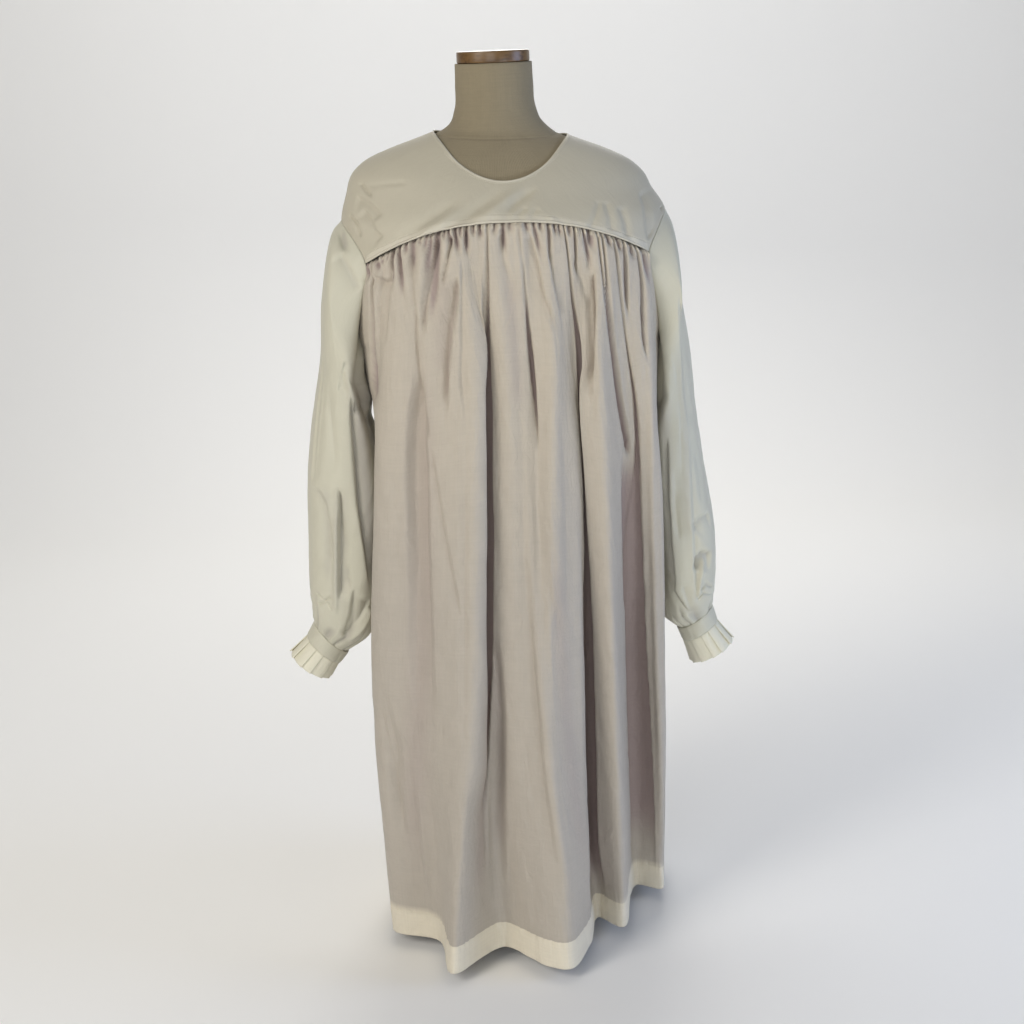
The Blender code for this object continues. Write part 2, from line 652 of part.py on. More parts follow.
def set_along(row_a, row_b, gap):
    """Row a moved towards row b by a clearance."""
    a, b = np.array(row_a, float), np.array(row_b, float)
    mid_a = np.array([(a[0] + a[2]) / 2, (a[1] + a[3]) / 2])
    mid_b = np.array([(b[0] + b[2]) / 2, (b[1] + b[3]) / 2])
    step = (mid_b - mid_a) / np.linalg.norm(mid_b - mid_a) * gap
    a[[0, 2]] += step[0]
    a[[1, 3]] += step[1]
    return a


def pleat_columns():
    """Turn and height of each column of the frill: a fold edge, its underlay, then the flat."""
    turns, heights = [], []
    for n in range(FRILL_PLEATS):
        for share, height in ((0.0, 1.0), (0.14, -0.9), (0.45, -0.35), (0.80, 0.6)):
            turns.append(2 * math.pi * (n + share) / FRILL_PLEATS)
            heights.append(height)
    return np.array(turns), np.array(heights)


for thing in list(bpy.data.objects):
    bpy.data.objects.remove(thing, do_unlink=True)
GARMENT = bpy.data.collections.new("Rochet on dress form")
bpy.context.scene.collection.children.link(GARMENT)

cotton = finish("White cotton", (0.80, 0.77, 0.76), 0.75)
cotton_yoke = finish("White cotton yoke", (0.82, 0.81, 0.76), 0.72)
cotton_sleeve = finish("White cotton sleeve", (0.84, 0.85, 0.84), 0.72)
linen = finish("Natural linen", (0.42, 0.39, 0.31), 0.85)
beech = finish("Beech", (0.50, 0.36, 0.20), 0.5)
iron = finish("Painted iron", (0.05, 0.05, 0.05), 0.4)

# Panels. The armhole edge has a row at each of the sleeve's columns.
hole_clocks = list(np.arange(90, 181, 15.0))
front_u, front_k = gather_columns(FRONT_GATHERS, 0.6, 4)
front = front_panel(front_u, front_k, FRONT_DROPS, hole_clocks, BELOW_ARMHOLE)
front[:, 0, 1] -= SEAM / 2
front[:, -1, 1] -= SEAM / 2
cloth("front_panel", front, WALL, False, cotton, fine_rows=(0, 5), sides=-1, level_row=0)

back_clocks = list(np.arange(270, 179, -15.0))
back_u, back_k = gather_columns(BACK_GATHERS, 2.1, 4)
back = back_panel(back_u, back_k, BACK_DROPS, back_clocks, BELOW_ARMHOLE)
back[:, 0, 1] += SEAM / 2
back[:, -1, 1] += SEAM / 2
cloth("back_panel", back, WALL, False, cotton, fine_rows=(0, 4), sides=1, level_row=0)

cloth("front_yoke", yoke(True, 6, 22, 5), WALL, False, cotton_yoke, level_row=-1,
      level_columns=slice(6, -6), shoulders=True)
cloth("back_yoke", yoke(False, 6, 20, 5), WALL, False, cotton_yoke, level_row=-1,
      level_columns=slice(6, -6), shoulders=True)

# Sleeves, wristbands and frills
for side, word, cuff in ((-1, "left", LEFT_CUFF), (1, "right", RIGHT_CUFF)):
    clocks = np.arange(0, 360, 7.5)
    steps = (0, 0.4, 1, 1.8, 2.8, 4, 5.2, 6.4, 7.4, 8.05, 8.55, 9)
    tube = sleeve(side, clocks, steps)
    cloth(f"sleeve_{word}", tube, WALL, True, cotton_sleeve, fine_rows=(9, 12), flat_rows=(-1,),
          first=armhole_start(clocks, side)[1])
    wrist = (LEFT_SLEEVE if side < 0 else RIGHT_SLEEVE)[-1]
    turn = np.linspace(0, 2 * math.pi, 24, endpoint=False)
    top = ring(set_along(wrist, cuff[0], SEAM), turn)
    foot = ring(cuff[0], turn)
    cloth(f"wristband_{word}", np.array([top, foot]), BAND_WALL, True, cotton_yoke,
          flat_rows=(0, 1))
    turns, heights = pleat_columns()
    head = ring(set_along(cuff[0], cuff[1], SEAM), turns)
    end = ring(cuff[1], turns)
    frill = np.array([head, end])
    out = frill - frill.mean(1, keepdims=True)
    out /= np.linalg.norm(out, axis=-1, keepdims=True)
    rise = np.array([0.0006, 0.0028])[:, None, None]
    cloth(f"frill_{word}", frill + out * rise * heights[None, :, None], FRILL_WALL, True,
          cotton_yoke, flat_rows=(0,))

# The dress form and its stand
torso = loft("form_torso", FORM, 30, linen)
for vertex in torso.data.vertices:
    x, y, z = vertex.co
    lean = float(ease(1.05, 1.12, z)) * float(1 - ease(1.16, 1.18, z))
    vertex.co.z += SHOULDER_LEAN * x * lean
low = FORM[-1][0] + REST
turned("form_neck_cap", (
    (0.0, low + CAP_HEIGHT), (CAP_RADIUS - 0.0025, low + CAP_HEIGHT),
    (CAP_RADIUS, low + CAP_HEIGHT - 0.0025), (CAP_RADIUS, low + 0.0015),
    (CAP_RADIUS - 0.0015, low), (0.0, low)), 40, beech)
pole_low, pole_high = HUB_HEIGHT + REST, FORM[0][0] - REST
bpy.ops.mesh.primitive_cylinder_add(
    vertices=24, radius=POLE_RADIUS, depth=pole_high - pole_low,
    location=(0.0, 0.0, (pole_high + pole_low) / 2))
pole = bpy.context.object
pole.name = "stand_pole"
pole.data.materials.append(iron)
for holder in list(pole.users_collection):
    holder.objects.unlink(pole)
GARMENT.objects.link(pole)
turned("stand_base", (
    (0.0, HUB_HEIGHT), (HUB_RADIUS - 0.006, HUB_HEIGHT), (HUB_RADIUS, BASE_HEIGHT + 0.004),
    (BASE_RADIUS - 0.006, BASE_HEIGHT), (BASE_RADIUS, BASE_HEIGHT - 0.004), (BASE_RADIUS, 0.0),
    (0.0, 0.0)), 48, iron)
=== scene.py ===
"""The looks of a white rochet on a linen dress form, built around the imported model.

Metres, +Z up, the front towards -Y. Each cloth piece is a thin shell on the form of its solid,
with the finer gathers, creases, hems and stitches of the sewn garment.
"""
import math

import bpy
import numpy as np
from mathutils import Matrix, Vector


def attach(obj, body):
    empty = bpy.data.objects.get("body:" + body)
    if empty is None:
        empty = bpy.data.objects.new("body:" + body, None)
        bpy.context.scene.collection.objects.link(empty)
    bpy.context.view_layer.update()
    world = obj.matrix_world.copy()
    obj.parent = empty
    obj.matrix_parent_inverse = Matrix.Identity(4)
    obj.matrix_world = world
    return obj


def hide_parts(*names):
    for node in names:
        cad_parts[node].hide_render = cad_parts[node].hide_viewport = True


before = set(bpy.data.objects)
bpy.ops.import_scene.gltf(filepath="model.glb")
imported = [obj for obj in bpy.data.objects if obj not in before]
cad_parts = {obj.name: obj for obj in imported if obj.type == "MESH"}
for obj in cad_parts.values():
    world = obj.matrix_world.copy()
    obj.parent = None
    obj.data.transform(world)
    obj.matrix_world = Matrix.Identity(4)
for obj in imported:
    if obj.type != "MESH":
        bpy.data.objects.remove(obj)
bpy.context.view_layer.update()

# The garment's construction, the same named sizes as its solids
# The shells' thicknesses
CLOTH, YOKE_CLOTH, WRISTBAND_CLOTH, FRILL_CLOTH, LINEN_CLOTH = 0.0009, 0.0011, 0.0018, 0.0007, 0.001
HEM_Z = 0.019
HEM_BAND = 0.040
YOKE_MID_Z = 1.0555
YOKE_END_DROP = 0.0525
YOKE_HALF_WIDTH = 0.2235
YOKE_CORNER_X = 0.1911
BACK_MID_Z = 1.048       # the back yoke's seam at its middle
SEAM_BEND = 2.3          # a higher power keeps the seams straighter in their middle
YOKE_SEAM = 0.0006       # the gap between yoke and skirt
GARMENT_X = 0.008        # the skirt hangs this far to the right of the form's middle
NECK_X = 0.006
SHOULDER_LEAN = -0.036   # the right shoulder lies lower
WRIST_GATHERS = 12
FRILL_PLEATS = 12
TOPSTITCH_UP = 0.0115    # the yoke's turned-in seam is stitched this far above the seam
NECK_STITCH_IN = 0.0045
HEM_STITCH_DOWN = 0.002
HEM_PUCKERS = 532.0
NECK_SEAM_Z = 1.158      # a seam of the form's linen cover
STITCH_PITCH, STITCH_LONG, STITCH_THICK = 0.0028, 0.0019, 0.00028
# Columns of the yoke along an armhole and along the seam, and rows of the skirt along an armhole
HOLE_STEPS, SEAM_STEPS, ARMHOLE_ROWS = 36, 110, 34
# How strongly each table of folds is taken, and the most that a narrow deep fold may have
GATHERS_BY, SOFT_FOLDS_BY, CREASES_BY, FAINT_CREASES_BY = 2.2, 1.5, 2.3, 1.3
YOKE_CREASES_BY, SLEEVE_CREASES_BY = 1.7, 1.4
STRIP_MOST, BACK_STRIP_MOST = 0.016, 0.007
STRIP_SOFT = 0.0012      # half the width over which a narrow deep fold's side falls
FINE_CREASES = 70
# The back has the front's folds, turned about, a little closer together and moved aside
BACK_SCALE, BACK_SHIFT = -0.97, -0.009
# The back yoke and the back of the sleeves have the front's creases a little lower
BACK_YOKE_SCALE, BACK_YOKE_DOWN, BACK_SLEEVE_DOWN = -0.95, 0.006, 0.023
INNER_CORNER = 2.36      # a sleeve ring's front inner corner, as its turn
LAP_OUT = 0.005          # how far in front of the body's side the sleeve's corner hangs
CLING_GAP = 0.0022       # between the middles of the sleeve's and the body's cloth
SHARP = 1.7              # the profile of a narrow fold
SIDES = {-1: "left", 1: "right"}

# The body of the cloth: height, half width, front depth, back depth
TRUNK = (
    (1.168, 0.081, 0.05, 0.06), (1.158, 0.106, 0.0585, 0.072), (1.144, 0.145, 0.069, 0.086),
    (1.131, 0.175, 0.079, 0.095), (1.115, 0.196, 0.093, 0.103), (1.085, 0.211, 0.116, 0.116),
    (1.055, 0.2235, 0.1375, 0.126), (1.03, 0.2245, 0.148, 0.131), (1.0000, 0.223, 0.155, 0.134),
    (0.954, 0.221, 0.158, 0.137), (0.885, 0.217, 0.16, 0.139), (0.83, 0.206, 0.163, 0.141),
    (0.765, 0.185, 0.166, 0.143), (0.65, 0.179, 0.172, 0.148), (0.45, 0.193, 0.18, 0.158),
    (0.25, 0.203, 0.188, 0.166), (0.01, 0.198, 0.195, 0.174),
)
# How far back the side seams lie: height, left, right
SIDE_SEAM = (
    (1.06, 0.0, 0.0), (0.885, 0.0, 0.0), (0.65, 0.004, 0.006), (0.42, 0.01, 0.018),
    (0.22, 0.016, 0.044), (0.01, 0.02, 0.08),
)
# Neck opening in plan: half width, front depth, back depth
NECKLINE = (0.091, 0.100, 0.078)
# Armhole: clock angle from the shoulder by way of the front, height, angle round the body
ARMHOLE = (
    (0, 1.055, 0.0), (30, 1.047, 14.0), (60, 1.03, 24.0), (90, 1.003, 31.0), (115, 0.975, 28.5),
    (140, 0.94, 19.5), (160, 0.905, 9.5), (180, 0.885, 0.0), (202, 0.905, -9.5), (230, 0.945, -20.0),
    (255, 0.985, -26.0), (270, 1.008, -27.0), (300, 1.035, -21.0), (330, 1.048, -11.5),
    (360, 1.055, 0.0),
)
# Front folds: share of the cloth's width, share of the yoke seam, x and y at four heights
FOLD_HEIGHTS = (0.90, 0.70, 0.42, HEM_Z)
FRONT_FOLDS = (
    ("left corner", 0.085, 0.035, -0.172, -0.108, -0.187, -0.11, -0.208, -0.108, -0.2, -0.1),
    ("left dip", 0.17, 0.165, -0.118, -0.142, -0.128, -0.15, -0.142, -0.16, -0.132, -0.139),
    ("left ridge", 0.265, 0.335, -0.05, -0.16, -0.059, -0.182, -0.072, -0.205, -0.111, -0.237),
    ("middle trough", 0.365, 0.415, -0.023, -0.146, -0.029, -0.156, -0.043, -0.172, -0.034, -0.166),
    ("low ridge", 0.42, 0.475, 0.003, -0.16, 0.004, -0.172, -0.003, -0.192, 0.004, -0.205),
    ("low dip", 0.455, 0.555, 0.0335, -0.151, 0.031, -0.168, 0.022, -0.198, 0.026, -0.228),
    ("middle ridge", 0.5, 0.61, 0.062, -0.162, 0.054, -0.184, 0.047, -0.212, 0.058, -0.236),
    ("ridge side", 0.56, 0.665, 0.08, -0.15, 0.083, -0.166, 0.085, -0.182, 0.086, -0.17),
    ("deep trough", 0.65, 0.715, 0.097, -0.138, 0.1025, -0.138, 0.101, -0.12, 0.101, -0.09),
    ("right ridge", 0.745, 0.8, 0.125, -0.15, 0.129, -0.16, 0.133, -0.158, 0.14, -0.12),
    ("right trough", 0.86, 0.885, 0.16, -0.122, 0.165, -0.112, 0.165, -0.065, 0.166, 0.01),
    ("right corner", 0.935, 0.955, 0.196, -0.106, 0.2085, -0.1, 0.211, -0.078, 0.207, -0.002),
)
# Back folds, which start at a height of their own: share of the width, how far out at chest,
# waist, thigh and hem
BACK_FOLDS_FROM = 1.03
BACK_FOLDS = (
    (0.08, 0.000, 0.004, 0.008, 0.014), (0.16, -0.004, -0.01, -0.02, -0.03),
    (0.27, 0.004, 0.008, 0.016, 0.028), (0.36, -0.004, -0.01, -0.022, -0.04),
    (0.46, 0.005, 0.012, 0.022, 0.032), (0.56, -0.005, -0.012, -0.026, -0.046),
    (0.66, 0.005, 0.01, 0.02, 0.03), (0.75, -0.004, -0.01, -0.02, -0.036),
    (0.84, 0.003, 0.006, 0.014, 0.024), (0.93, 0.000, -0.004, -0.01, -0.018),
)
# How far below the seam's middle the rows along the armhole start
FRONT_DROPS = (0, 0.007, 0.018, 0.036, 0.066, 0.110, 0.165)
BACK_DROPS = (0, 0.010, 0.028, 0.065, 0.100, 0.130, 0.165)

# Sleeves, a row a ring: outer x and z, inner x and z, front y, back y
LEFT_SLEEVE = (
    (-0.2355, 1.03, -0.2235, 0.8795, -0.078, 0.062), (-0.252, 0.95, -0.2155, 0.848, -0.08, 0.066),
    (-0.26, 0.864, -0.2, 0.8, -0.076, 0.068), (-0.2775, 0.778, -0.186, 0.745, -0.07, 0.068),
    (-0.291, 0.69, -0.18, 0.67, -0.066, 0.068), (-0.2965, 0.6, -0.184, 0.59, -0.064, 0.068),
    (-0.3, 0.528, -0.198, 0.515, -0.062, 0.064), (-0.2985, 0.49, -0.208, 0.46, -0.052, 0.056),
    (-0.296, 0.47, -0.251, 0.4245, -0.029, 0.039),
)
RIGHT_SLEEVE = (
    (0.2405, 1.02, 0.2395, 0.8795, -0.078, 0.062), (0.249, 0.935, 0.2335, 0.848, -0.08, 0.066),
    (0.262, 0.85, 0.216, 0.8, -0.074, 0.068), (0.27, 0.765, 0.203, 0.745, -0.066, 0.068),
    (0.282, 0.68, 0.199, 0.665, -0.064, 0.068), (0.296, 0.59, 0.203, 0.58, -0.064, 0.068),
    (0.295, 0.52, 0.209, 0.505, -0.062, 0.064), (0.29, 0.49, 0.215, 0.465, -0.052, 0.056),
    (0.2875, 0.472, 0.2375, 0.44, -0.029, 0.039),
)
# Cuffs: the wristband's lower edge and the frill's
LEFT_CUFF = (
    (-0.3085, 0.4495, -0.2635, 0.408, -0.029, 0.039),
    (-0.3355, 0.4265, -0.279, 0.384, -0.036, 0.046),
)
RIGHT_CUFF = (
    (0.2945, 0.449, 0.245, 0.42, -0.029, 0.039), (0.3182, 0.4185, 0.2576, 0.386, -0.036, 0.046),
)
SLEEVES = {-1: LEFT_SLEEVE, 1: RIGHT_SLEEVE}
CUFFS = {-1: LEFT_CUFF, 1: RIGHT_CUFF}
# How square each ring is at its front inner corner, from 1, which is round
SLEEVE_SQUARES = (0.8, 0.55, 0.5, 0.5, 0.5, 0.55, 0.65, 0.85, 1.0)
# The dress form: height, half width, front depth, back depth
FORM = (
    (0.45, 0.06, 0.045, 0.05), (0.454, 0.115, 0.078, 0.083), (0.47, 0.146, 0.098, 0.107),
    (0.55, 0.165, 0.113, 0.126), (0.64, 0.153, 0.108, 0.116), (0.74, 0.127, 0.097, 0.092),
    (0.83, 0.135, 0.108, 0.092), (0.93, 0.156, 0.13, 0.102), (1.02, 0.174, 0.127, 0.11),
    (1.07, 0.182, 0.109, 0.108), (1.105, 0.184, 0.093, 0.102), (1.12, 0.178, 0.084, 0.097),
    (1.131, 0.163, 0.0765, 0.0915), (1.1405, 0.144, 0.069, 0.0855), (1.1545, 0.105, 0.0585, 0.0715),
    (1.1645, 0.081, 0.0505, 0.0605), (1.176, 0.065, 0.049, 0.056), (1.196, 0.0555, 0.0485, 0.052),
    (1.23, 0.0528, 0.049, 0.0495), (1.2575, 0.052, 0.049, 0.049),
)

# Narrow deep folds of the front, in mm: height, left and right edge across, depth
FRONT_STRIPS = {
    "middle": ((1045, -18, -15, 4), (954, -22.6, -19, 9), (894, -27.5, -21.3, 14),
               (823, -33, -21.5, 20), (712, -38.5, -25, 23), (603, -44, -28.5, 23),
               (489, -49, -35.5, 19), (374, -54, -44, 13), (255, -57, -52, 7), (150, -60, -57, 0)),
    "second": ((1050, 22.6, 24.4, 5), (968, 28.7, 30.8, 6), (912, 30, 34.3, 13), (873, 31, 37, 15),
               (820, 34, 38.5, 11), (767, 37, 39.2, 4), (742, 38, 39, 0)),
    "third": ((1045, 83, 85.2, 6), (982, 88.8, 91.2, 7), (897, 95.2, 99.6, 12), (815, 96.5, 101.5, 16),
              (703, 98, 107.2, 22), (589, 97.3, 110.3, 26), (473, 95.3, 112.3, 26),
              (353, 94, 112.3, 24), (227, 93.5, 112, 18), (103, 90, 113, 8), (45, 90, 113, 0)),
    "fourth left": ((1040, 126.5, 129, 6), (1000, 130.2, 132.4, 7), (947, 135.5, 138.2, 8),
                    (893, 140.3, 144, 9), (860, 143, 146, 0)),
    "fourth": ((1045, 131.5, 134.2, 6), (1000, 135.5, 137.8, 8), (947, 139, 142.8, 9),
               (893, 141.5, 147, 13), (837, 145, 152.5, 15), (782, 151.7, 159.4, 15),
               (752, 157, 164.4, 15), (738, 160, 165.5, 14), (728, 161, 166, 0)),
    "recess edge": ((1040, 147, 150.8, 6), (995, 151, 153.8, 8), (944, 156.8, 159, 7),
                    (882, 163, 165, 8), (806, 170.5, 174.8, 12), (750, 172.4, 178, 18),
                    (695, 170, 178.6, 18), (640, 165, 179, 18), (575, 158, 180, 20),
                    (449, 155, 183, 24), (318, 156.5, 188, 20), (180, 158.5, 193, 12),
                    (60, 159, 195, 0)),
    "recess": ((790, 162, 176, 0), (740, 156, 177, 2), (690, 151, 177.5, 9), (640, 150.5, 178, 11),
               (560, 152, 179, 8), (500, 153, 180, 0)),
    "left": ((995, -176, -173.5, 5), (915, -182, -177, 10), (850, -186, -180.5, 11),
             (821, -188, -182.5, 7), (805, -188, -183, 0)),
    "right one": ((1026, 162, 165, 6), (983, 161.3, 167, 10), (943, 164, 168, 8), (926, 166, 168, 0)),
    "right two": ((1016, 178, 181, 6), (968, 184, 188.2, 9), (881, 187.3, 190.5, 9), (862, 191, 192, 0)),
    "short": ((1052, 61.5, 66.3, 8), (1030, 61.6, 66.2, 8), (1008, 62.4, 65, 5), (998, 63, 64.5, 0)),
    "short right": ((1050, 96, 99.6, 6), (1015, 96.2, 99.8, 8), (990, 97, 99.8, 4), (980, 98, 99.5, 0)),
}
# Softer folds, the same columns with how softly their sides fall, in mm, first
SOFT_FOLDS = {
    "left valley": (6, (862, -119, -112, 2), (825, -128, -113, 8), (756, -137, -114, 10),
                    (605, -142, -117, 8), (470, -148, -118, 5), (360, -150, -120, 0)),
    "blue hollow": (3, (965, 112, 122, 0), (950, 110, 122, 2), (890, 108, 118.5, 4),
                    (840, 108, 114.5, 5), (824, 109, 114, 0)),
    "second's ridge": (5, (745, 20, 33, -2), (605, 18, 32, -4), (440, 26, 38, -5), (280, 34, 46, -4),
                       (110, 52, 62, 0)),
    "beside the ridge": (7, (500, -36, -28, 0), (408, -36, -24, 5), (255, -46, -30, 6),
                         (100, -50, -34, 0)),
    "lower left": (9, (430, -206, -196, 0), (330, -190, -176, 6), (240, -190, -174, 5),
                   (140, -186, -172, 0)),
    "lower left two": (8, (330, -160, -150, 0), (240, -150, -138, -5), (140, -146, -132, -6),
                       (40, -142, -128, 0)),
    "far right ridge": (5, (640, 192, 198, -3), (450, 196, 202, -4), (250, 200, 206, -3),
                        (100, 202, 208, 0)),
}
# Gathers of the front between those folds, in mm: where they start, length, depth, half width, sideways
FRONT_GATHER_TABLE = (
    (-182, 26, 4.0, 2.4, 3), (-170, 22, 4.5, 2.6, 6), (-161, 16, 3.5, 2.0, 0),
    (-154, 14, 3.0, 1.8, 0), (-147, 46, 5.5, 2.1, 0), (-136, 66, 6.0, 2.2, 1),
    (-127, 16, 3.5, 2.6, 2), (-117, 48, 3.5, 3.5, -2), (-106, 12, 3.5, 2.0, 0),
    (-98, 22, 3.5, 2.2, -3), (-91, 58, 4.5, 2.6, -12), (-82, 115, 5.5, 4.2, -17),
    (-75, 12, 3.5, 2.0, 0), (-69, 28, 4.0, 2.2, 5), (-60, 34, 5.0, 2.2, 4), (-53, 14, 3.5, 2.0, 0),
    (-45, 38, 6.0, 2.0, 0), (-36, 14, 3.5, 2.2, 1), (-27, 20, 4.0, 2.2, 1), (-7, 16, 2.5, 2.4, -2),
    (3, 40, 6.0, 2.0, 1), (13, 14, 3.0, 2.4, 0), (34, 14, 3.5, 2.4, 2), (44, 50, 3.5, 2.4, 9),
    (53, 12, 3.0, 2.2, 0), (72, 14, 4.0, 2.2, 1), (78, 16, 3.5, 2.0, 1), (91, 14, 3.5, 2.2, 0),
    (109, 56, 4.0, 2.2, 10), (118, 26, 5.0, 3.4, 1), (142, 16, 4.0, 2.4, 2), (156, 18, 4.0, 2.2, 2),
    (173, 20, 4.0, 2.2, 2), (189, 60, 3.5, 2.2, 9),
)
# Dents with a sharp upper edge, in mm: across, height, half width, length below, depth
FRONT_DENTS = (
    (-134, 950, 5, 14, 3.0), (-77, 1012, 3, 7, 3.0), (-42, 1001, 4, 9, 2.5), (8, 984, 8, 34, 4.0),
    (69, 934, 7, 16, 5.0), (114, 992, 4, 7, 3.5), (-54, 856, 6, 14, 3.0), (-170, 706, 5, 10, 1.6),
    (57, 682, 8, 12, 2.2), (53, 604, 5, 9, 1.8), (58, 522, 7, 16, 3.5), (127, 534, 6, 10, 2.0),
    (-10, 506, 7, 14, 1.6), (112, 826, 5, 5, 2.0), (-150, 560, 9, 14, 1.5), (20, 395, 8, 16, 1.8),
    (-20, 330, 9, 16, 1.6), (-172, 330, 9, 22, 1.8), (-120, 430, 9, 18, 1.4), (30, 720, 5, 9, 1.2),
)

# Folds drawn as lines across and up, in mm: depth, softness, how far the hollow runs on, the line.
# A run of 0 is a groove. Otherwise the cloth steps down beside the line: left of it seen along
# the line where the run is positive, right of it where it is negative.
YOKE_CREASES = (
    (2.6, 7, 0, (-145, 1028), (-106, 1054), (-62, 1080), (-48, 1096)),
    (-2.0, 8, 0, (-120, 1028), (-84, 1053), (-44, 1077)),
    (2.8, 7, 0, (-85, 1041), (-39, 1067), (9, 1095)),
    (-1.9, 7, 0, (-39, 1053), (1, 1078), (34, 1098)),
    (2.2, 6, 0, (1, 1063), (25, 1082), (55, 1098)),
    (1.2, 3, 0, (21, 1052), (26, 1065), (35, 1074)),
    (1.0, 2.5, 0, (41, 1051), (44, 1064), (51, 1071)),
    (1.3, 3, 0, (119, 1040), (128, 1059), (134, 1076)),
    (1.5, 4, 0, (148, 1034), (147, 1052), (142, 1074)),
    (2.0, 4, 0, (170, 1024), (168, 1045), (162, 1066)),
    (2.6, 2.5, 0, (-188, 1108), (-179, 1098), (-171, 1091)),
    (3.4, 1.8, -12, (-194, 1090), (-182, 1087), (-168, 1078), (-157, 1066)),
    (4.0, 2.0, -12, (-185, 1075), (-174, 1063), (-168, 1048), (-156, 1038)),
    (3.0, 2.2, 0, (-204, 1066), (-195, 1054), (-190, 1038)),
    (0.7, 3.0, 0, (-180, 1103), (-153, 1106), (-121, 1108)),
    (2.6, 2.4, 16, (190, 1082), (195, 1063), (196, 1042), (199, 1016)),
    (-0.7, 5, 0, (203, 1068), (209, 1049), (211, 1026)),
    (2.5, 2, 0, (222, 1059), (226, 1045), (218, 1033)),
    (-1.2, 1.0, 0, (68, 1060), (66, 1052)),
)
FRONT_CREASES = (
    (7, 0.9, -12, (-57, 992), (-60, 957), (-69, 920), (-75, 879), (-80, 815)),
    (4, 0.8, -8, (-116, 956), (-118, 900), (-116, 846), (-112, 818), (-104, 772)),
    (2.4, 0.9, -10, (-104, 762), (-97, 700), (-90, 642), (-81, 582), (-72, 526)),
    (-5.5, 0.8, -22, (-20, 1020), (-26, 954), (-32, 894), (-38, 823), (-44, 712), (-50, 603),
     (-55, 489), (-59, 374), (-62, 230)),
    (-6, 1.0, 15, (99, 900), (103, 800), (108, 703), (111, 589), (113, 473), (113, 353), (113, 227),
     (113, 60)),
    (3.2, 7, 60, (30, 700), (38, 624), (44, 527), (46, 428), (50, 349), (57, 281), (63, 226), (74, 120)),
    (2.2, 1.5, -12, (-198, 390), (-190, 320), (-180, 250), (-172, 190)),
    (3, 0.8, -7, (-117, 1018), (-118, 984), (-120, 945)),
    (5, 3.5, 0, (-84, 1038), (-92, 1004), (-104, 959), (-111, 915)),
    (4, 1.5, 0, (-63, 1042), (-72, 1006), (-82, 975)),
    (2.2, 0.8, 9, (-53, 1014), (-56, 958), (-58, 894), (-62, 849), (-56, 808)),
    (3.5, 0.9, -8, (39, 1044), (48, 1004), (55, 953), (70, 922)),
    (3, 0.8, 7, (62, 1018), (67, 978), (77, 932)),
    (2.5, 0.8, 7, (93, 1003), (103, 970), (112, 932)),
    (6, 0.8, -10, (123, 988), (122, 937), (117, 891), (110, 840)),
    (3, 0.9, 8, (-159, 1012), (-170, 955), (-176, 893), (-184, 808)),
    (4, 1.0, -8, (-137, 1032), (-148, 996), (-156, 944), (-162, 900)),
    (5, 1.0, -8, (-172, 989), (-160, 981), (-148, 985)),
    (2.5, 0.9, -9, (5, 1042), (6, 1008), (13, 983)),
    (-1.6, 6, 0, (-26, 985), (-31, 935), (-35, 894), (-40, 823), (-46, 712), (-52, 603), (-57, 489),
     (-62, 374), (-66, 255), (-69, 120)),
    (1.7, 6, 0, (-46, 905), (-53, 823), (-60, 712), (-66, 603), (-71, 489), (-76, 374), (-80, 200)),
    (-1.2, 5, 0, (84, 900), (88, 800), (90, 703), (90, 589), (88, 473), (86, 353), (86, 150)),
    (1.3, 6, 0, (70, 860), (73, 760), (74, 660), (73, 560), (70, 450)),
)
# Softly shaded bands of the front, in mm: how strong, half width, the line
FRONT_BANDS = (
    (0.32, 18, (-108, 930), (-120, 760), (-126, 631), (-132, 528), (-140, 415), (-150, 300),
     (-158, 200), (-160, 90)),
    (0.28, 10, (52, 640), (60, 560), (66, 410), (74, 260), (86, 130)),
    (0.28, 8, (-28, 520), (-31, 440), (-33, 300), (-38, 150)),
    (0.40, 7, (-46, 500), (-55, 340), (-64, 190), (-70, 100)),
    (0.25, 12, (-75, 1000), (-82, 930), (-88, 850)),
    (0.25, 9, (10, 1000), (12, 900), (14, 800)),
)
# The sleeves' creases and bands, as the front's
LEFT_CREASES = (
    (6, 7, 0, (-219, 1052), (-213, 1030), (-209, 1014)),
    (5, 2.0, -18, (-217, 1019), (-203, 993), (-190, 968)),
    (8, 1.2, 45, (-215, 830), (-218, 792), (-218, 757), (-217, 670), (-211, 582), (-208, 530)),
    (4, 1.2, -30, (-190, 793), (-202, 793), (-213, 794)),
    (3, 1.4, 12, (-220, 872), (-226, 849), (-234, 826)),
    (2.5, 0.8, 8, (-250, 886), (-259, 837), (-273, 759), (-284, 680)),
    (1.6, 0.9, 5, (-252, 850), (-266, 765), (-277, 695)),
    (2.5, 6, 0, (-249, 860), (-247, 787), (-245, 705)),
    (5, 1.4, -16, (-287, 687), (-273, 679), (-264, 662), (-259, 628), (-258, 570)),
    (-3, 3.5, 0, (-249, 655), (-255, 569), (-259, 495)),
    (7, 1.2, 14, (-243, 690), (-248, 606), (-253, 518)),
    (6, 1.2, -12, (-241, 690), (-238, 613), (-233, 530)),
    (1.4, 0.7, 0, (-279, 552), (-259, 551)),
    (2.4, 1.6, 0, (-288, 528), (-275, 519), (-263, 527)),
    (2.2, 1.5, 0, (-286, 511), (-274, 517), (-264, 506)),
    (5, 1.6, -16, (-206, 520), (-222, 492), (-236, 474), (-252, 460)),
    (-4, 4, 0, (-208, 505), (-217, 483), (-232, 465), (-250, 452)),
    (4, 1.5, 10, (-230, 542), (-238, 501), (-252, 462)),
)
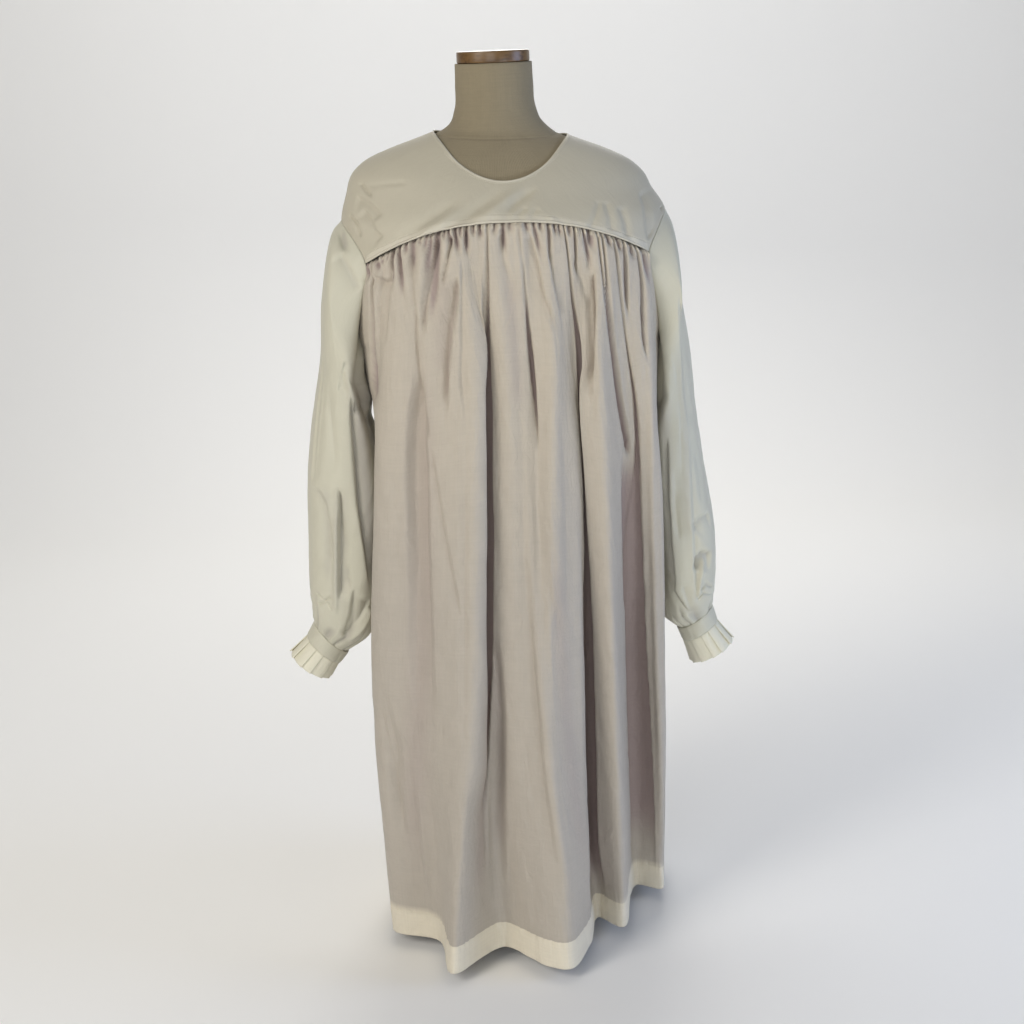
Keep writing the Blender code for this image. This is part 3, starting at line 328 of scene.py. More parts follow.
LEFT_BANDS = (
    (1.0, 13, (-196, 900), (-203, 840), (-204, 780), (-203, 700), (-199, 600), (-198, 500)),
    (0.4, 8, (-244, 690), (-250, 606), (-254, 500)),
    (0.35, 7, (-262, 700), (-266, 620), (-268, 540)),
)
RIGHT_BANDS = (
    (0.6, 7, (218, 830), (220, 740), (221, 650), (223, 560), (228, 490)),
    (0.3, 8, (240, 900), (244, 800), (248, 700), (250, 560)),
)
RIGHT_CREASES = (
    (3, 1.0, 14, (239, 946), (241, 878), (245, 808), (252, 748)),
    (1.8, 1.2, 6, (227, 870), (233, 830), (239, 766), (239, 694), (243, 607), (249, 505)),
    (3, 1.5, 14, (253, 756), (255, 650), (257, 562), (260, 485)),
    (5, 1.2, -14, (253, 610), (266, 619), (281, 622)),
    (7, 1.0, -18, (255, 543), (258, 562), (267, 569), (284, 567)),
    (-3.5, 3, 0, (273, 560), (266, 532), (262, 500)),
    (2.2, 1.4, 0, (266, 510), (274, 520), (283, 511)),
    (2.0, 1.4, 0, (261, 498), (270, 507), (282, 500)),
    (6, 1.2, -25, (222, 745), (222, 651), (225, 585), (230, 510)),
    (4, 0.9, -14, (226, 544), (228, 514), (240, 494), (252, 475)),
    (3, 0.9, 8, (238, 522), (245, 498), (251, 475)),
    (2.5, 3, 0, (233, 700), (232, 640), (236, 590)),
    (2, 4, 0, (262, 720), (268, 680), (270, 640)),
)
SLEEVE_CREASES = {-1: LEFT_CREASES, 1: RIGHT_CREASES}
SLEEVE_BANDS = {-1: LEFT_BANDS, 1: RIGHT_BANDS}
# Where the sleeve's front lies over the body's side: height and place across, left and right
SLEEVE_LAP = (
    (0.745, -0.219, 0.217), (0.8, -0.218, 0.218), (0.85, -0.212, 0.217), (0.9, -0.203, 0.2125),
    (0.93, -0.197, 0.21), (0.962, -0.191, 0.206),
)


def ease(low, high, x):
    """A smooth step, 0 up to low and 1 from high."""
    t = np.clip((np.asarray(x, float) - low) / (high - low), 0.0, 1.0)
    return t * t * (3 - 2 * t)


def window(up, down, x):
    """Two smooth steps: up over the first two places, down over the next two."""
    return ease(*up, x) * (1 - ease(*down, x))


def bell(x, wide, power=2):
    """A hump of height 1 about 0. A power under 2 makes its top sharper."""
    return np.exp(-np.abs(x / wide) ** power)


def unit(v):
    return v / np.maximum(np.linalg.norm(v, axis=-1, keepdims=True), 1e-12)


def running(steps):
    """The distance run at each place, from the steps between them."""
    return np.concatenate([[0], np.cumsum(steps)])


def cubic(t, h, start, end):
    """A smooth line between two values, each given with its slope."""
    return ((2 * t**3 - 3 * t**2 + 1) * start[0] + (t**3 - 2 * t**2 + t) * h * start[1]
            + (3 * t**2 - 2 * t**3) * end[0] + (t**3 - t**2) * h * end[1])


def through(knots, values, at):
    """A smooth line through a table's values, read at the places given."""
    k = np.asarray(knots, float)
    v = np.asarray(values, float)
    at = np.clip(np.asarray(at, float), k[0], k[-1])
    slope = np.gradient(v, k, axis=0)
    i = np.clip(np.searchsorted(k, at, side="right") - 1, 0, len(k) - 2)
    h = k[i + 1] - k[i]
    t = (at - k[i]) / h
    for _ in range(v.ndim - 1):
        h = h[..., None]
        t = t[..., None]
    return cubic(t, h, (v[i], slope[i]), (v[i + 1], slope[i + 1]))


def along(knots, points, at):
    """A smooth curve through each row of points, read at one share each."""
    slope = np.gradient(points, knots, axis=1)
    i = np.clip(np.searchsorted(knots, at, side="right") - 1, 0, len(knots) - 2)
    n = np.arange(len(at))
    h = (knots[i + 1] - knots[i])[:, None]
    t = (at - knots[i])[:, None] / h
    return cubic(t, h, (points[n, i], slope[n, i]), (points[n, i + 1], slope[n, i + 1]))


def column(rows, number):
    return [row[number] for row in rows]


def section(rows, z):
    """The columns after a table's first, read at the given places of the first."""
    knots = column(rows, 0)
    values = [row[1:] for row in rows]
    if knots[0] > knots[-1]:
        knots, values = knots[::-1], values[::-1]
    return through(knots, values, z)


def trunk(angle, z):
    """A place on the body of the cloth. Angle 0 is the left side, a quarter turn the front."""
    angle, z = np.broadcast_arrays(np.asarray(angle, float), np.asarray(z, float))
    size = section(TRUNK, z)
    seam = section(SIDE_SEAM, z)
    across = -np.cos(angle)
    out = np.sin(angle)
    depth = np.where(out > 0, size[..., 1], size[..., 2])
    x = GARMENT_X * (1 - ease(1.02, 1.10, z)) + size[..., 0] * across
    y = -depth * out + np.abs(across) ** 3 * np.where(across < 0, seam[..., 0], seam[..., 1])
    lift = SHOULDER_LEAN * x * ease(1.05, 1.12, z)
    return np.stack([x, y, z + lift], -1)


def armhole(clock):
    """Height and angle from the side, at a clock angle in degrees."""
    rows = section(ARMHOLE, np.mod(clock, 360.0))
    return rows[..., 0], np.radians(rows[..., 1])


def yoke_seam_z(angle):
    share = np.abs(np.cos(angle)) * YOKE_HALF_WIDTH / YOKE_CORNER_X
    return YOKE_MID_Z - YOKE_END_DROP * np.minimum(share, 1.0) ** SEAM_BEND


def back_seam_z(angle):
    corner_z, corner_away = armhole(270.0)
    share = np.abs(np.cos(angle)) / math.cos(corner_away)
    return BACK_MID_Z - (BACK_MID_Z - corner_z) * np.minimum(share, 1.0) ** SEAM_BEND


def normals(grid, around=False):
    """Unit normals of a grid of places."""
    if around:
        wide = np.concatenate([grid[:, -1:], grid, grid[:, :1]], 1)
        a = wide[:, 2:] - wide[:, :-2]
    else:
        a = np.gradient(grid, axis=1)
    return unit(np.cross(a, np.gradient(grid, axis=0)))


def level(out):
    return unit(out * np.array([1.0, 1.0, 0.0]))


def toward(out, facing):
    """Normals turned to face the front (-1) or the back (1)."""
    return out * (1 if np.sign(out[..., 1].sum()) == facing else -1)


def ruffle(x, y, seed):
    """A smooth uneven field between about -1 and 1, from a few crossing waves."""
    made = np.zeros(np.broadcast(x, y).shape)
    for n in range(5):
        turn = 1.3 * n + seed
        made = made + np.sin((1.0 + 0.37 * n) * x * math.cos(0.35 * math.sin(turn)) +
                             (0.8 + 0.29 * n) * y + 2.7 * turn +
                             1.6 * np.sin(0.53 * y + 0.31 * x + turn)) / (1 + 0.35 * n)
    return made / 3.0


def fold_depth(stations, soft, x, z):
    """Depth of one fold at each place, in metres, from its stations."""
    rows = np.array(sorted(stations), float) / 1000
    left, right, deep = (through(rows[:, 0], rows[:, n], z) for n in (1, 2, 3))
    deep = np.where((z < rows[0, 0]) | (z > rows[-1, 0]), 0.0, deep)
    if stations[0][3]:
        deep = np.where(z > rows[-1, 0], rows[-1, 3], deep)
    return deep * ease(left - soft, left + soft, x) * (1 - ease(right - soft, right + soft, x))


def small_gathers(rows, x, fall):
    """Valleys that start at the seam, each with its own length and lean."""
    made = np.zeros(x.shape)
    for start, length, deep, half, sideways in rows:
        down = fall / (length / 1000)
        middle = start / 1000 + sideways / 1000 * np.minimum(down, 1.2)
        wide = half / 1000 * (1 + 0.9 * np.clip(down, 0, 1))
        valley = bell(x - middle, wide, SHARP) * (1 - ease(0.35, 1.15, down))
        made = np.maximum(made, deep / 1000 * valley)
    return made


def dents(rows, x, z):
    """Small dents, sharp above and running out below."""
    made = np.zeros(x.shape)
    for across, height, half, below, deep in rows:
        up = z * 1000 - height
        shape = np.where(up > 0, bell(up, 1.6), bell(up, below, 1.5))
        made = made + deep / 1000 * shape * bell(x * 1000 - across, half)
    return made


def beside(line, across, up):
    """Distance from a drawn line, positive on its left as it runs, and the share along it."""
    line = np.asarray(line, float) / 1000
    best = np.full(across.shape, 1e9)
    signed = np.zeros(across.shape)
    share = np.zeros(across.shape)
    runs = np.linalg.norm(np.diff(line, axis=0), axis=1)
    before = 0.0
    for start, end, run in zip(line, line[1:], runs):
        du, dv = (end - start) / run
        t = np.clip(((across - start[0]) * du + (up - start[1]) * dv) / run, 0, 1)
        off_u = across - start[0] - t * run * du
        off_v = up - start[1] - t * run * dv
        far = np.hypot(off_u, off_v)
        nearer = far < best
        best = np.where(nearer, far, best)
        signed = np.where(nearer, np.where(du * off_v - dv * off_u < 0, -far, far), signed)
        share = np.where(nearer, (before + t * run) / runs.sum(), share)
        before += run
    return signed, share


def creases(rows, across, up):
    """Depth of the drawn folds at each place, and how deep in shade each place lies."""
    deep = np.zeros(across.shape)
    shade = np.zeros(across.shape)
    for depth, soft, run, *line in rows:
        off, share = beside(line, across, up)
        off = off * 1000
        taper = 0.12 if soft < 5 else 0.40
        if run:
            off = off * np.sign(run)
            shape = 0.5 * (1 + np.tanh(off / soft)) * np.exp(-np.maximum(off, 0) / abs(run))
        else:
            shape = bell(off, soft, SHARP)
        fold = depth * shape * window((0.0, taper), (1 - taper, 1.0), share)
        deep = deep + fold / 1000
        shade = np.maximum(shade, ease(1.0, 9.0, fold))
    return deep, shade


def bands_of_shade(rows, across, up):
    """Soft shaded bands along drawn lines."""
    made = np.zeros(across.shape)
    for strong, wide, *line in rows:
        off, share = beside(line, across, up)
        band = strong * bell(off * 1000, wide) * window((0.0, 0.2), (0.8, 1.0), share)
        made = np.maximum(made, band)
    return made


def fine_creases(count, seed, low, high):
    """Short faint creases left from wearing and folding, strewn over the skirt."""
    made = []
    for n in range(count):
        a, b, c, d = (math.modf(abs(math.sin((n + 1) * k + seed) * 437.5))[0]
                      for k in (12.9, 4.1, 7.7, 3.3))
        x, z = -185 + 380 * a, low + (high - low) * b
        long, lean = 14 + 34 * c, math.pi * (0.20 + 0.60 * d)
        dx, dz = long * math.cos(lean), long * math.sin(lean)
        run = (0, 6, -7)[n % 3]
        line = (x - dx, z + dz), (x + 2 * d, z), (x + dx, z - dz)
        made.append((0.5 + 0.7 * c, 0.8 + 0.8 * d, run, *line))
    return made


def panel_heights(columns, top_z, top_drops, corner, rows):
    """Each row's drop below the seam at the panel's middle, and the height of each place.

    The first rows end on the armhole, from the yoke's corner, a clock angle, to its lowest place.
    """
    clocks = np.linspace(corner, 180, ARMHOLE_ROWS)
    drops = np.interp(np.abs(clocks - corner), np.linspace(0, 90, len(top_drops)), top_drops)
    side_z = np.array(armhole(clocks)[0])
    side_z[0] -= YOKE_SEAM
    full = YOKE_MID_Z - YOKE_SEAM - HEM_Z
    start, foot = drops[-1], side_z[-1]
    band = HEM_BAND / (foot - HEM_Z)
    step = 0.0006 / (foot - HEM_Z)
    shares = np.concatenate([
        np.linspace(0, 1 - band - step, rows)[1:],
        1 - band + step * np.array([-0.2, 1.0]),
        1 - band * np.array([0.85, 0.7, 0.5, 0.3, 0.14, 0.04, 0.0]),
    ])
    drops = np.concatenate([drops, start + (full - start) * shares])
    side_z = np.concatenate([side_z, foot + (HEM_Z - foot) * shares])
    middle = ease(0.0, 0.16, np.minimum(columns, 1 - columns))
    z = top_z - drops[:, None] * (top_z - HEM_Z) / drops[-1]
    z = z * middle + side_z[:, None] * (1 - middle)
    z[0] = top_z
    z[-1] = HEM_Z
    return drops, z


def front_edge(z, side):
    """Where the front's side seam and armhole edge lie in plan."""
    hole_z, hole_away = armhole(np.linspace(90, 180, 121))
    order = np.argsort(hole_z)
    away = np.interp(z, hole_z[order], hole_away[order], left=0.0)
    return trunk(away if side < 0 else math.pi - away, z)[..., :2]


def front_grid(columns, rows):
    """The front before its gathers, as rows of places, with the fall and the height of each."""
    corner = armhole(90.0)[1]
    shares, seam_shares = ([0.0] + column(FRONT_FOLDS, n) + [1.0] for n in (1, 2))
    seam_angle = corner + (math.pi - 2 * corner) * np.interp(columns, shares, seam_shares)
    top_z = yoke_seam_z(seam_angle) - YOKE_SEAM
    drops, z = panel_heights(columns, top_z, FRONT_DROPS, 90, rows)
    flat = z.ravel()
    points = np.empty((flat.size, len(FRONT_FOLDS) + 2, 2))
    points[:, 0] = front_edge(flat, -1)
    points[:, -1] = front_edge(flat, 1)
    for n, row in enumerate(FRONT_FOLDS):
        angle = corner + (math.pi - 2 * corner) * row[2]
        start = trunk(angle, yoke_seam_z(angle))
        values = [row[at:at + 2] for at in (9, 7, 5, 3)] + [tuple(start[:2])]
        points[:, n + 1] = through([*FOLD_HEIGHTS[::-1], float(start[2])], values, flat)
    at = np.tile(columns, len(drops))
    plan = along(np.array(shares), points, at).reshape(*z.shape, 2)
    grid = np.concatenate([plan, z[..., None]], -1)
    off_seam = (trunk(seam_angle, top_z) - grid[0])[:, :2]
    grid[..., :2] += off_seam * (1 - ease(0.0, 0.03, drops))[:, None, None]
    grid[:, 0, :2] = front_edge(z[:, 0], -1)
    grid[:, -1, :2] = front_edge(z[:, -1], 1)
    return grid, top_z - z, z


def back_grid(columns, rows):
    """The gathered back, from the right side to the left."""
    corner = -armhole(270.0)[1]
    seam_angle = math.pi + corner + (math.pi - 2 * corner) * columns
    top_z = back_seam_z(seam_angle) - YOKE_SEAM
    _, z = panel_heights(columns, top_z, BACK_DROPS, 270, rows)
    hole_z, hole_away = armhole(np.linspace(180, 270, 121))
    away = np.interp(z, hole_z, -hole_away, left=0.0)
    grid = trunk(math.pi + away + (math.pi - 2 * away) * columns, z)
    knots = [0.0] + column(BACK_FOLDS, 0) + [1.0]
    levels = [through(knots, [0.0] + column(BACK_FOLDS, n) + [0.0], columns) for n in (4, 3, 2, 1)]
    folds = np.stack(levels + [np.zeros_like(columns)], 0)
    heights = [*FOLD_HEIGHTS[::-1], BACK_FOLDS_FROM]
    amount = np.stack([through(heights, folds[:, j], z[:, j]) for j in range(len(columns))], 1)
    return grid + level(normals(grid)) * amount[..., None], top_z - z, z


def neckline_place(turn):
    """Angle round the body and height of the neck opening at a turn in plan."""
    half, front, back = NECKLINE
    x = NECK_X - half * math.cos(turn)
    y = -(front if math.sin(turn) > 0 else back) * math.sin(turn)
    low, high = 1.02, TRUNK[0][0]
    for _ in range(30):
        z = (low + high) / 2
        size = section(TRUNK, z)
        depth = size[1] if y < 0 else size[2]
        if (x / size[0]) ** 2 + (y / depth) ** 2 > 1:
            high = z
        else:
            low = z
    return math.atan2(-y / depth, -x / size[0]), z


def yoke_grid(front, rows):
    """Half of the yoke, from the neck opening out to the armholes and the seam."""
    shoulder, corner = (0, 90) if front else (360, 270)
    hole_z, hole_away = armhole(np.linspace(shoulder, corner, HOLE_STEPS + 1))
    hole_away = np.abs(hole_away)
    seam_angles = np.linspace(hole_away[-1], math.pi - hole_away[-1], SEAM_STEPS + 1)[1:-1]
    ends = list(zip(hole_away, hole_z))
    ends += list(zip(seam_angles, (yoke_seam_z if front else back_seam_z)(seam_angles)))
    ends += [(math.pi - away, z) for away, z in zip(hole_away[::-1], hole_z[::-1])]
    neck_corner = 0.42
    turns = np.concatenate([
        np.linspace(0, neck_corner, HOLE_STEPS + 1),
        np.linspace(neck_corner, math.pi - neck_corner, SEAM_STEPS + 1)[1:-1],
        np.linspace(math.pi - neck_corner, math.pi, HOLE_STEPS + 1),
    ])
    grid = np.empty((len(rows), len(ends), 3))
    facing = 1 if front else -1
    for j, (turn, (angle_end, z_end)) in enumerate(zip(turns, ends)):
        angle, z = neckline_place(facing * turn)
        if turn in (0, math.pi):
            angle = facing * turn
        grid[:, j] = trunk(angle + (facing * angle_end - angle) * rows, z + (z_end - z) * rows)
    grid[:, [0, -1], 1] -= 0.0001 * facing
    return grid


def armhole_start(clocks, side):
    """Where the sleeve starts, a little inside the armhole."""
    def places(at):
        z, away = armhole(at)
        return trunk(away if side < 0 else math.pi - away, z)

    place = places(clocks)
    inward = unit(places(np.array([0.0, 90.0, 180.0, 270.0])).mean(0) - place)
    from_top = np.minimum(clocks, 360 - clocks)
    return place + inward * (0.0004 + 0.0014 * ease(5, 140, from_top)[:, None])


def ring(row, turn, square=1.0):
    """A ring from its outer and inner places and its front and back depths, squarer front and inside."""
    outer = np.array([row[0], 0.0, row[1]])
    inner = np.array([row[2], 0.0, row[3]])
    middle = (outer + inner) / 2
    depth = np.where(np.sin(turn) > 0, row[4], -row[5])
    y_mid = (row[4] + row[5]) / 2
    inside = (np.cos(turn) < 0) & (np.sin(turn) > 0)
    power = np.where(inside, square, 1.0)
    across, out = (np.sign(wave) * np.abs(wave) ** power for wave in (np.cos(turn), np.sin(turn)))
    place = middle + (outer - middle) * across[..., None]
    place[..., 1] = y_mid + (depth + np.where(out > 0, -y_mid, y_mid)) * out
    return place


def sleeve_grid(side, clocks, steps):
    """A sleeve as rings from the armhole to the wristband, at steps counted in table rows."""
    turn = np.radians(clocks)
    rings = [ring(row, turn, square) for row, square in zip(SLEEVES[side], SLEEVE_SQUARES)]
    rings = np.array([armhole_start(clocks, side)] + rings)
    grid = lap_over(through(np.arange(len(rings)), rings, steps), side, turn)
    out = unit(grid - grid.mean(1, keepdims=True))
    t = steps[:, None]
    length = window((0.6, 2.5), (7.6, 8.6), t)
    folds = 0.0022 * np.cos(3 * turn + 0.8 * side + 0.25 * t)
    folds = folds + 0.0016 * np.cos(5 * turn + 1.7 + 0.2 * t)
    folds = folds + 0.0006 * ruffle(7 * turn, 6 * t, 0.9 + side)
    # The wrist's gathers, each with its own place, width and reach
    slide = WRIST_GATHERS * turn / math.pi / 2 + 0.22 * np.sin(2.3 * turn + side)
    number = np.floor(slide)
    reach = 0.9 + 0.5 * np.sin(2.7 * number + side)
    wrist = ease(8.5 - 1.3 * reach, 8.5, t) * (1 - 0.6 * ease(8.75, 9.0, t))
    off = (slide - number - 0.5 - 0.14 * np.sin(4.1 * number)) * (1.0 + 0.5 * np.sin(1.9 * number + 1))
    valley = bell(off, 0.16, SHARP)
    # The drawn creases, the same on the back but a little lower and shallower
    up = grid[..., 2] + np.where(turn < math.pi, 0.0, BACK_SLEEVE_DOWN)
    deep, shade = creases(SLEEVE_CREASES[side], grid[..., 0], up)
    shade = np.maximum(shade, bands_of_shade(SLEEVE_BANDS[side], grid[..., 0], up))
    facing = ease(0.05, 0.45, -out[..., 1]) + 0.5 * ease(0.05, 0.45, out[..., 1])
    drawn = SLEEVE_CREASES_BY * deep * facing * ease(0, 0.4, t)
    rise = length * folds + wrist * (0.0012 - 0.0050 * valley) - drawn
    # Painted shade along the drawn creases and bands, half as much on the back, and in the wrist
    # gathers' valleys
    shade = np.maximum(shade * facing, 0.8 * wrist * valley)
    return cling(grid + out * rise[..., None], side, turn), shade


def lap_over(grid, side, turn):
    """The sleeve's front inner corner hangs in front of the body's side."""
    corner = int(np.argmin(np.abs(turn - INNER_CORNER)))
    z = grid[:, corner, 2]
    lap_x = np.interp(z, column(SLEEVE_LAP, 0), column(SLEEVE_LAP, 1 if side < 0 else 2))
    amount = window((0.735, 0.78), (0.945, 0.975), z)
    share = np.clip(-np.sin(2 * turn), 0, 1) * (turn < math.pi)
    inward = side * np.minimum(side * (lap_x - grid[:, corner, 0]), 0)
    grid[..., 0] += (inward * amount)[:, None] * share
    grid[..., 1] -= LAP_OUT * amount[:, None] * share
    return grid


def cling(grid, side, turn):
    """The sleeve's inner side lies against the body under the arm."""
    corner = FRONT_FOLDS[0 if side < 0 else -1]
    z = grid[..., 2]
    corner_x, corner_y = (np.interp(z, FOLD_HEIGHTS[-2::-1], corner[n:n - 5:-2]) for n in (7, 8))
    edge = trunk(np.full(z.shape, 0.0 if side < 0 else math.pi), z)
    share = np.clip((grid[..., 1] - edge[..., 1]) / (corner_y - edge[..., 1]), 0, 1)
    body = edge[..., 0] + (corner_x - edge[..., 0]) * share + side * CLING_GAP
    apart = (grid[..., 0] - body) * side
    near = (1 - ease(0.015, 0.028, apart)) * window((0.775, 0.81), (0.93, 0.96), z)
    grid[..., 0] -= side * apart * near * ease(0.85, 0.96, -np.cos(turn))
    return grid


def hex_colour(code):
    """An sRGB hex colour as linear red, green, blue and alpha."""
    parts = [int(code[n:n + 2], 16) / 255 for n in (1, 3, 5)]
    return tuple(p / 12.92 if p <= 0.04045 else ((p + 0.055) / 1.055) ** 2.4 for p in parts) + (1.0,)


def connect(tree, node, links):
    """Sets a node's sockets, by name or number, to values or to other nodes' sockets."""
    for name, value in links.items():
        if isinstance(value, bpy.types.NodeSocket):
            tree.links.new(value, node.inputs[name])
        else:
            node.inputs[name].default_value = value


def add(tree, kind, links, **settings):
    """Adds a node with its own settings and its sockets' links."""
    made = tree.nodes.new(kind)
    for name, value in settings.items():
        setattr(made, name, value)
    connect(tree, made, links)
    return made


def noise(tree, place, scale, detail, roughness=0.5, distortion=0.0):
    """A cloudy texture, at one scale or at one for each axis."""
    if isinstance(scale, tuple):
        place = add(tree, "ShaderNodeMapping", {"Vector": place, "Scale": scale}).outputs[0]
        scale = 1.0
    links = {"Vector": place, "Scale": scale, "Detail": detail, "Roughness": roughness,
             "Distortion": distortion}
    return add(tree, "ShaderNodeTexNoise", links).outputs["Fac"]


def maths(tree, operation, a, b):
    return add(tree, "ShaderNodeMath", {0: a, 1: b}, operation=operation).outputs[0]


def raised(tree, height, strength, distance, **more):
    links = {"Height": height, "Strength": strength, "Distance": distance, **more}
    return add(tree, "ShaderNodeBump", links).outputs[0]


def ramp(tree, amount, *stops):
    """A colour between two stops, each a position and a hex colour."""
    made = add(tree, "ShaderNodeValToRGB", {"Fac": amount})
    for element, (position, colour) in zip(made.color_ramp.elements, stops):
        element.position = position
        element.color = hex_colour(colour)
    return made.outputs[0]


def material(name):
    made = bpy.data.materials.new(name)
    made.use_nodes = True
    return made, made.node_tree, made.node_tree.nodes["Principled BSDF"]


def plain(name, colour, roughness):
    """A material of one colour."""
    made, tree, shader = material(name)
    connect(tree, shader, {"Base Color": hex_colour(colour), "Roughness": roughness})
    return made


def bands(tree, place, period, direction):
    """A wave of the given period in metres."""
    links = {"Vector": place, "Scale": 2 * math.pi / 20 / period, "Distortion": 0.6,
             "Detail": 1.0, "Detail Scale": 0.6}
    wave = add(tree, "ShaderNodeTexWave", links, wave_type="BANDS", bands_direction=direction)
    return wave.outputs["Fac"]


def woven(name, colours, thread, roughness, sheen, slub, bump, crinkled=0.0045):
    """Plain-woven cloth. Colours: on the form; hanging free, a painted shade; in the hollows, a painted
    shade; and where it lies double.

    The slub is how uneven its tone is, and crinkled how deep its soft dents are.
    """
    made, tree, shader = material(name)
    place = add(tree, "ShaderNodeUVMap", {}, uv_map="cloth").outputs["UV"]
    tone = hex_colour(colours[0])
    # The colours for hanging free and for the hollows are painted shade, mixed in by the cloth's
    # attributes
    for label, colour in zip(("free", "hollow_shade", "double"), colours[1:]):
        amount = add(tree, "ShaderNodeAttribute", {}, attribute_name=label).outputs["Fac"]
        tone = add(tree, "ShaderNodeMix", {0: amount, 6: tone, 7: hex_colour(colour)},
                   data_type="RGBA").outputs[2]
    # Slubs: thicker threads, some millimetres wide and some centimetres long
    stretches = (420.0, 14.0, 1.0), (16.0, 380.0, 1.0)
    slubs = maths(tree, "ADD", *(noise(tree, place, stretch, 3.0, 0.6) for stretch in stretches))
    mottle = maths(tree, "ADD", slubs, noise(tree, place, 38.0, 4.0, 0.6))
    value = add(tree, "ShaderNodeMapRange", {"Value": mottle, "From Min": 0.9, "From Max": 2.1,
                                             "To Min": 1 - slub, "To Max": 1 + slub})
    tint = add(tree, "ShaderNodeHueSaturation", {"Color": tone, "Value": value.outputs[0]})
    # Threads, warp and weft
    weave = maths(tree, "MULTIPLY", *(bands(tree, place, thread, way) for way in "XY"))
    threads = raised(tree, maths(tree, "ADD", weave, slubs), bump, 0.0004)
    # Crinkles: soft dents 5 to 30 mm across, longer along the warp
    crinkle = noise(tree, place, (70.0, 34.0, 1.0), 4.0, 0.55, 0.8)
    surface = raised(tree, crinkle, bump, crinkled, Normal=threads)
    connect(tree, shader, {"Base Color": tint.outputs[0], "Normal": surface, "Roughness": roughness,
                           "Sheen Weight": sheen, "Sheen Roughness": 0.45, "Specular IOR Level": 0.42})
    return made


def put(name, data):
    """A new object in the scene."""
    made = bpy.data.objects.new(name, data)
    bpy.context.scene.collection.objects.link(made)
    return made


def smooth_mesh(name, points, edges, faces, surface):
    mesh = bpy.data.meshes.new(name)
    mesh.from_pydata([tuple(p) for p in points], edges, faces)
    if faces:
        mesh.polygons.foreach_set("use_smooth", [True] * len(faces))
    mesh.materials.append(surface)
    return put(name, mesh)


def mesh_piece(name, points, edges, faces, surface):
    """A mesh that belongs to the one body of the frame."""
    made = smooth_mesh(name, points, edges, faces, surface)
    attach(made, "root")
    return made


def cloth_piece(name, grid, surface, around=False, double=None, hollow_shade=None, free=None,
                thick=CLOTH):
    """A thin shell about a grid of places, with the cloth's own metres as its texture places."""
    rows, count = grid.shape[:2]
    ids = np.arange(rows * count).reshape(rows, count)
    here = np.arange(count if around else count - 1)
    after = (here + 1) % count
    faces = np.stack([ids[:-1][:, here], ids[:-1][:, after], ids[1:][:, after], ids[1:][:, here]], -1)
    made = mesh_piece(name, grid.reshape(-1, 3), [], faces.reshape(-1, 4).tolist(), surface)
    v = running(np.linalg.norm(np.diff(grid, axis=0), axis=-1).mean(1))
    u = running(np.linalg.norm(np.roll(grid, -1, 1) - grid, axis=-1).mean(0))
    i, j = np.meshgrid(np.arange(rows - 1), here, indexing="ij")
    corners = np.stack([u[j], v[i], u[j + 1], v[i], u[j + 1], v[i + 1], u[j], v[i + 1]], -1)
    layer = made.data.uv_layers.new(name="cloth")
    layer.data.foreach_set("uv", corners.reshape(-1).astype(np.float32))
    for label, value in (("hollow_shade", hollow_shade), ("double", double), ("free", free)):
        kept = made.data.attributes.new(label, "FLOAT", "POINT")
        value = np.zeros((rows, count)) if value is None else value
        kept.data.foreach_set("value", value.reshape(-1).astype(np.float32))
    wall = made.modifiers.new("thickness", "SOLIDIFY")
    wall.thickness = thick
    wall.offset = 0.0
    return made, normals(grid, around)


def stitches(name, path, lift):
    """Machine stitches along a path: small pointed dashes that lie on the cloth."""
    run = running(np.linalg.norm(np.diff(path, axis=0), axis=1))
    at = np.arange(STITCH_PITCH, run[-1] - STITCH_PITCH / 2, STITCH_PITCH)

    def read(values, places):
        return np.stack([np.interp(places, run, values[:, n]) for n in range(3)], -1)

    middle = read(path, at)
    ahead = read(path, at + STITCH_LONG / 2) - middle
    up = unit(read(lift, at))
    side = unit(np.cross(ahead, up)) * STITCH_THICK
    middle = middle + up * (CLOTH / 2 + STITCH_THICK * 0.3)
    up = up * STITCH_THICK
    corners = [middle - ahead]
    for end in (middle - ahead * 0.5, middle + ahead * 0.5):
        corners += [end + side, end + up, end - side]
    corners += [middle + ahead, middle - up]
    one = ((0, 2, 1), (0, 3, 2), (1, 2, 5, 4), (2, 3, 6, 5), (4, 5, 7), (5, 6, 7),
           (0, 1, 8), (1, 4, 8), (4, 7, 8), (7, 6, 8), (6, 3, 8), (3, 0, 8))
    faces = [tuple(len(corners) * n + c for c in face) for n in range(len(at)) for face in one]
    return mesh_piece(name, np.stack(corners, 1).reshape(-1, 3), [], faces, thread)


def turned(name, profile, sides, surface):
    """A turned solid with smooth sides, from radius and height down its outer side."""
    edges = [(n, n + 1) for n in range(len(profile) - 1)]
    made = mesh_piece(name, [(r, 0.0, z) for r, z in profile], edges, [], surface)
    screw = made.modifiers.new("turn", "SCREW")
    screw.steps = screw.render_steps = sides
    screw.use_merge_vertices = True
    screw.merge_threshold = 0.00001
    screw.use_smooth_shade = True
    return made


def rounded(points, radius):
    """A profile from the axis out and back, rounded at all corners but the two nearest each end."""
    made = points[:2]
    for places in zip(points[1:], points[2:], points[3:-1]):
        before, here, after = (Vector(place) for place in places)
        start, end = (here + (to - here).normalized() * min(radius, (to - here).length / 2)
                      for to in (before, after))
        made += [tuple(start * (1 - t) ** 2 + here * 2 * t * (1 - t) + end * t**2)
                 for t in (0.0, 0.2, 0.4, 0.6, 0.8, 1.0)]
    return made + points[-2:]


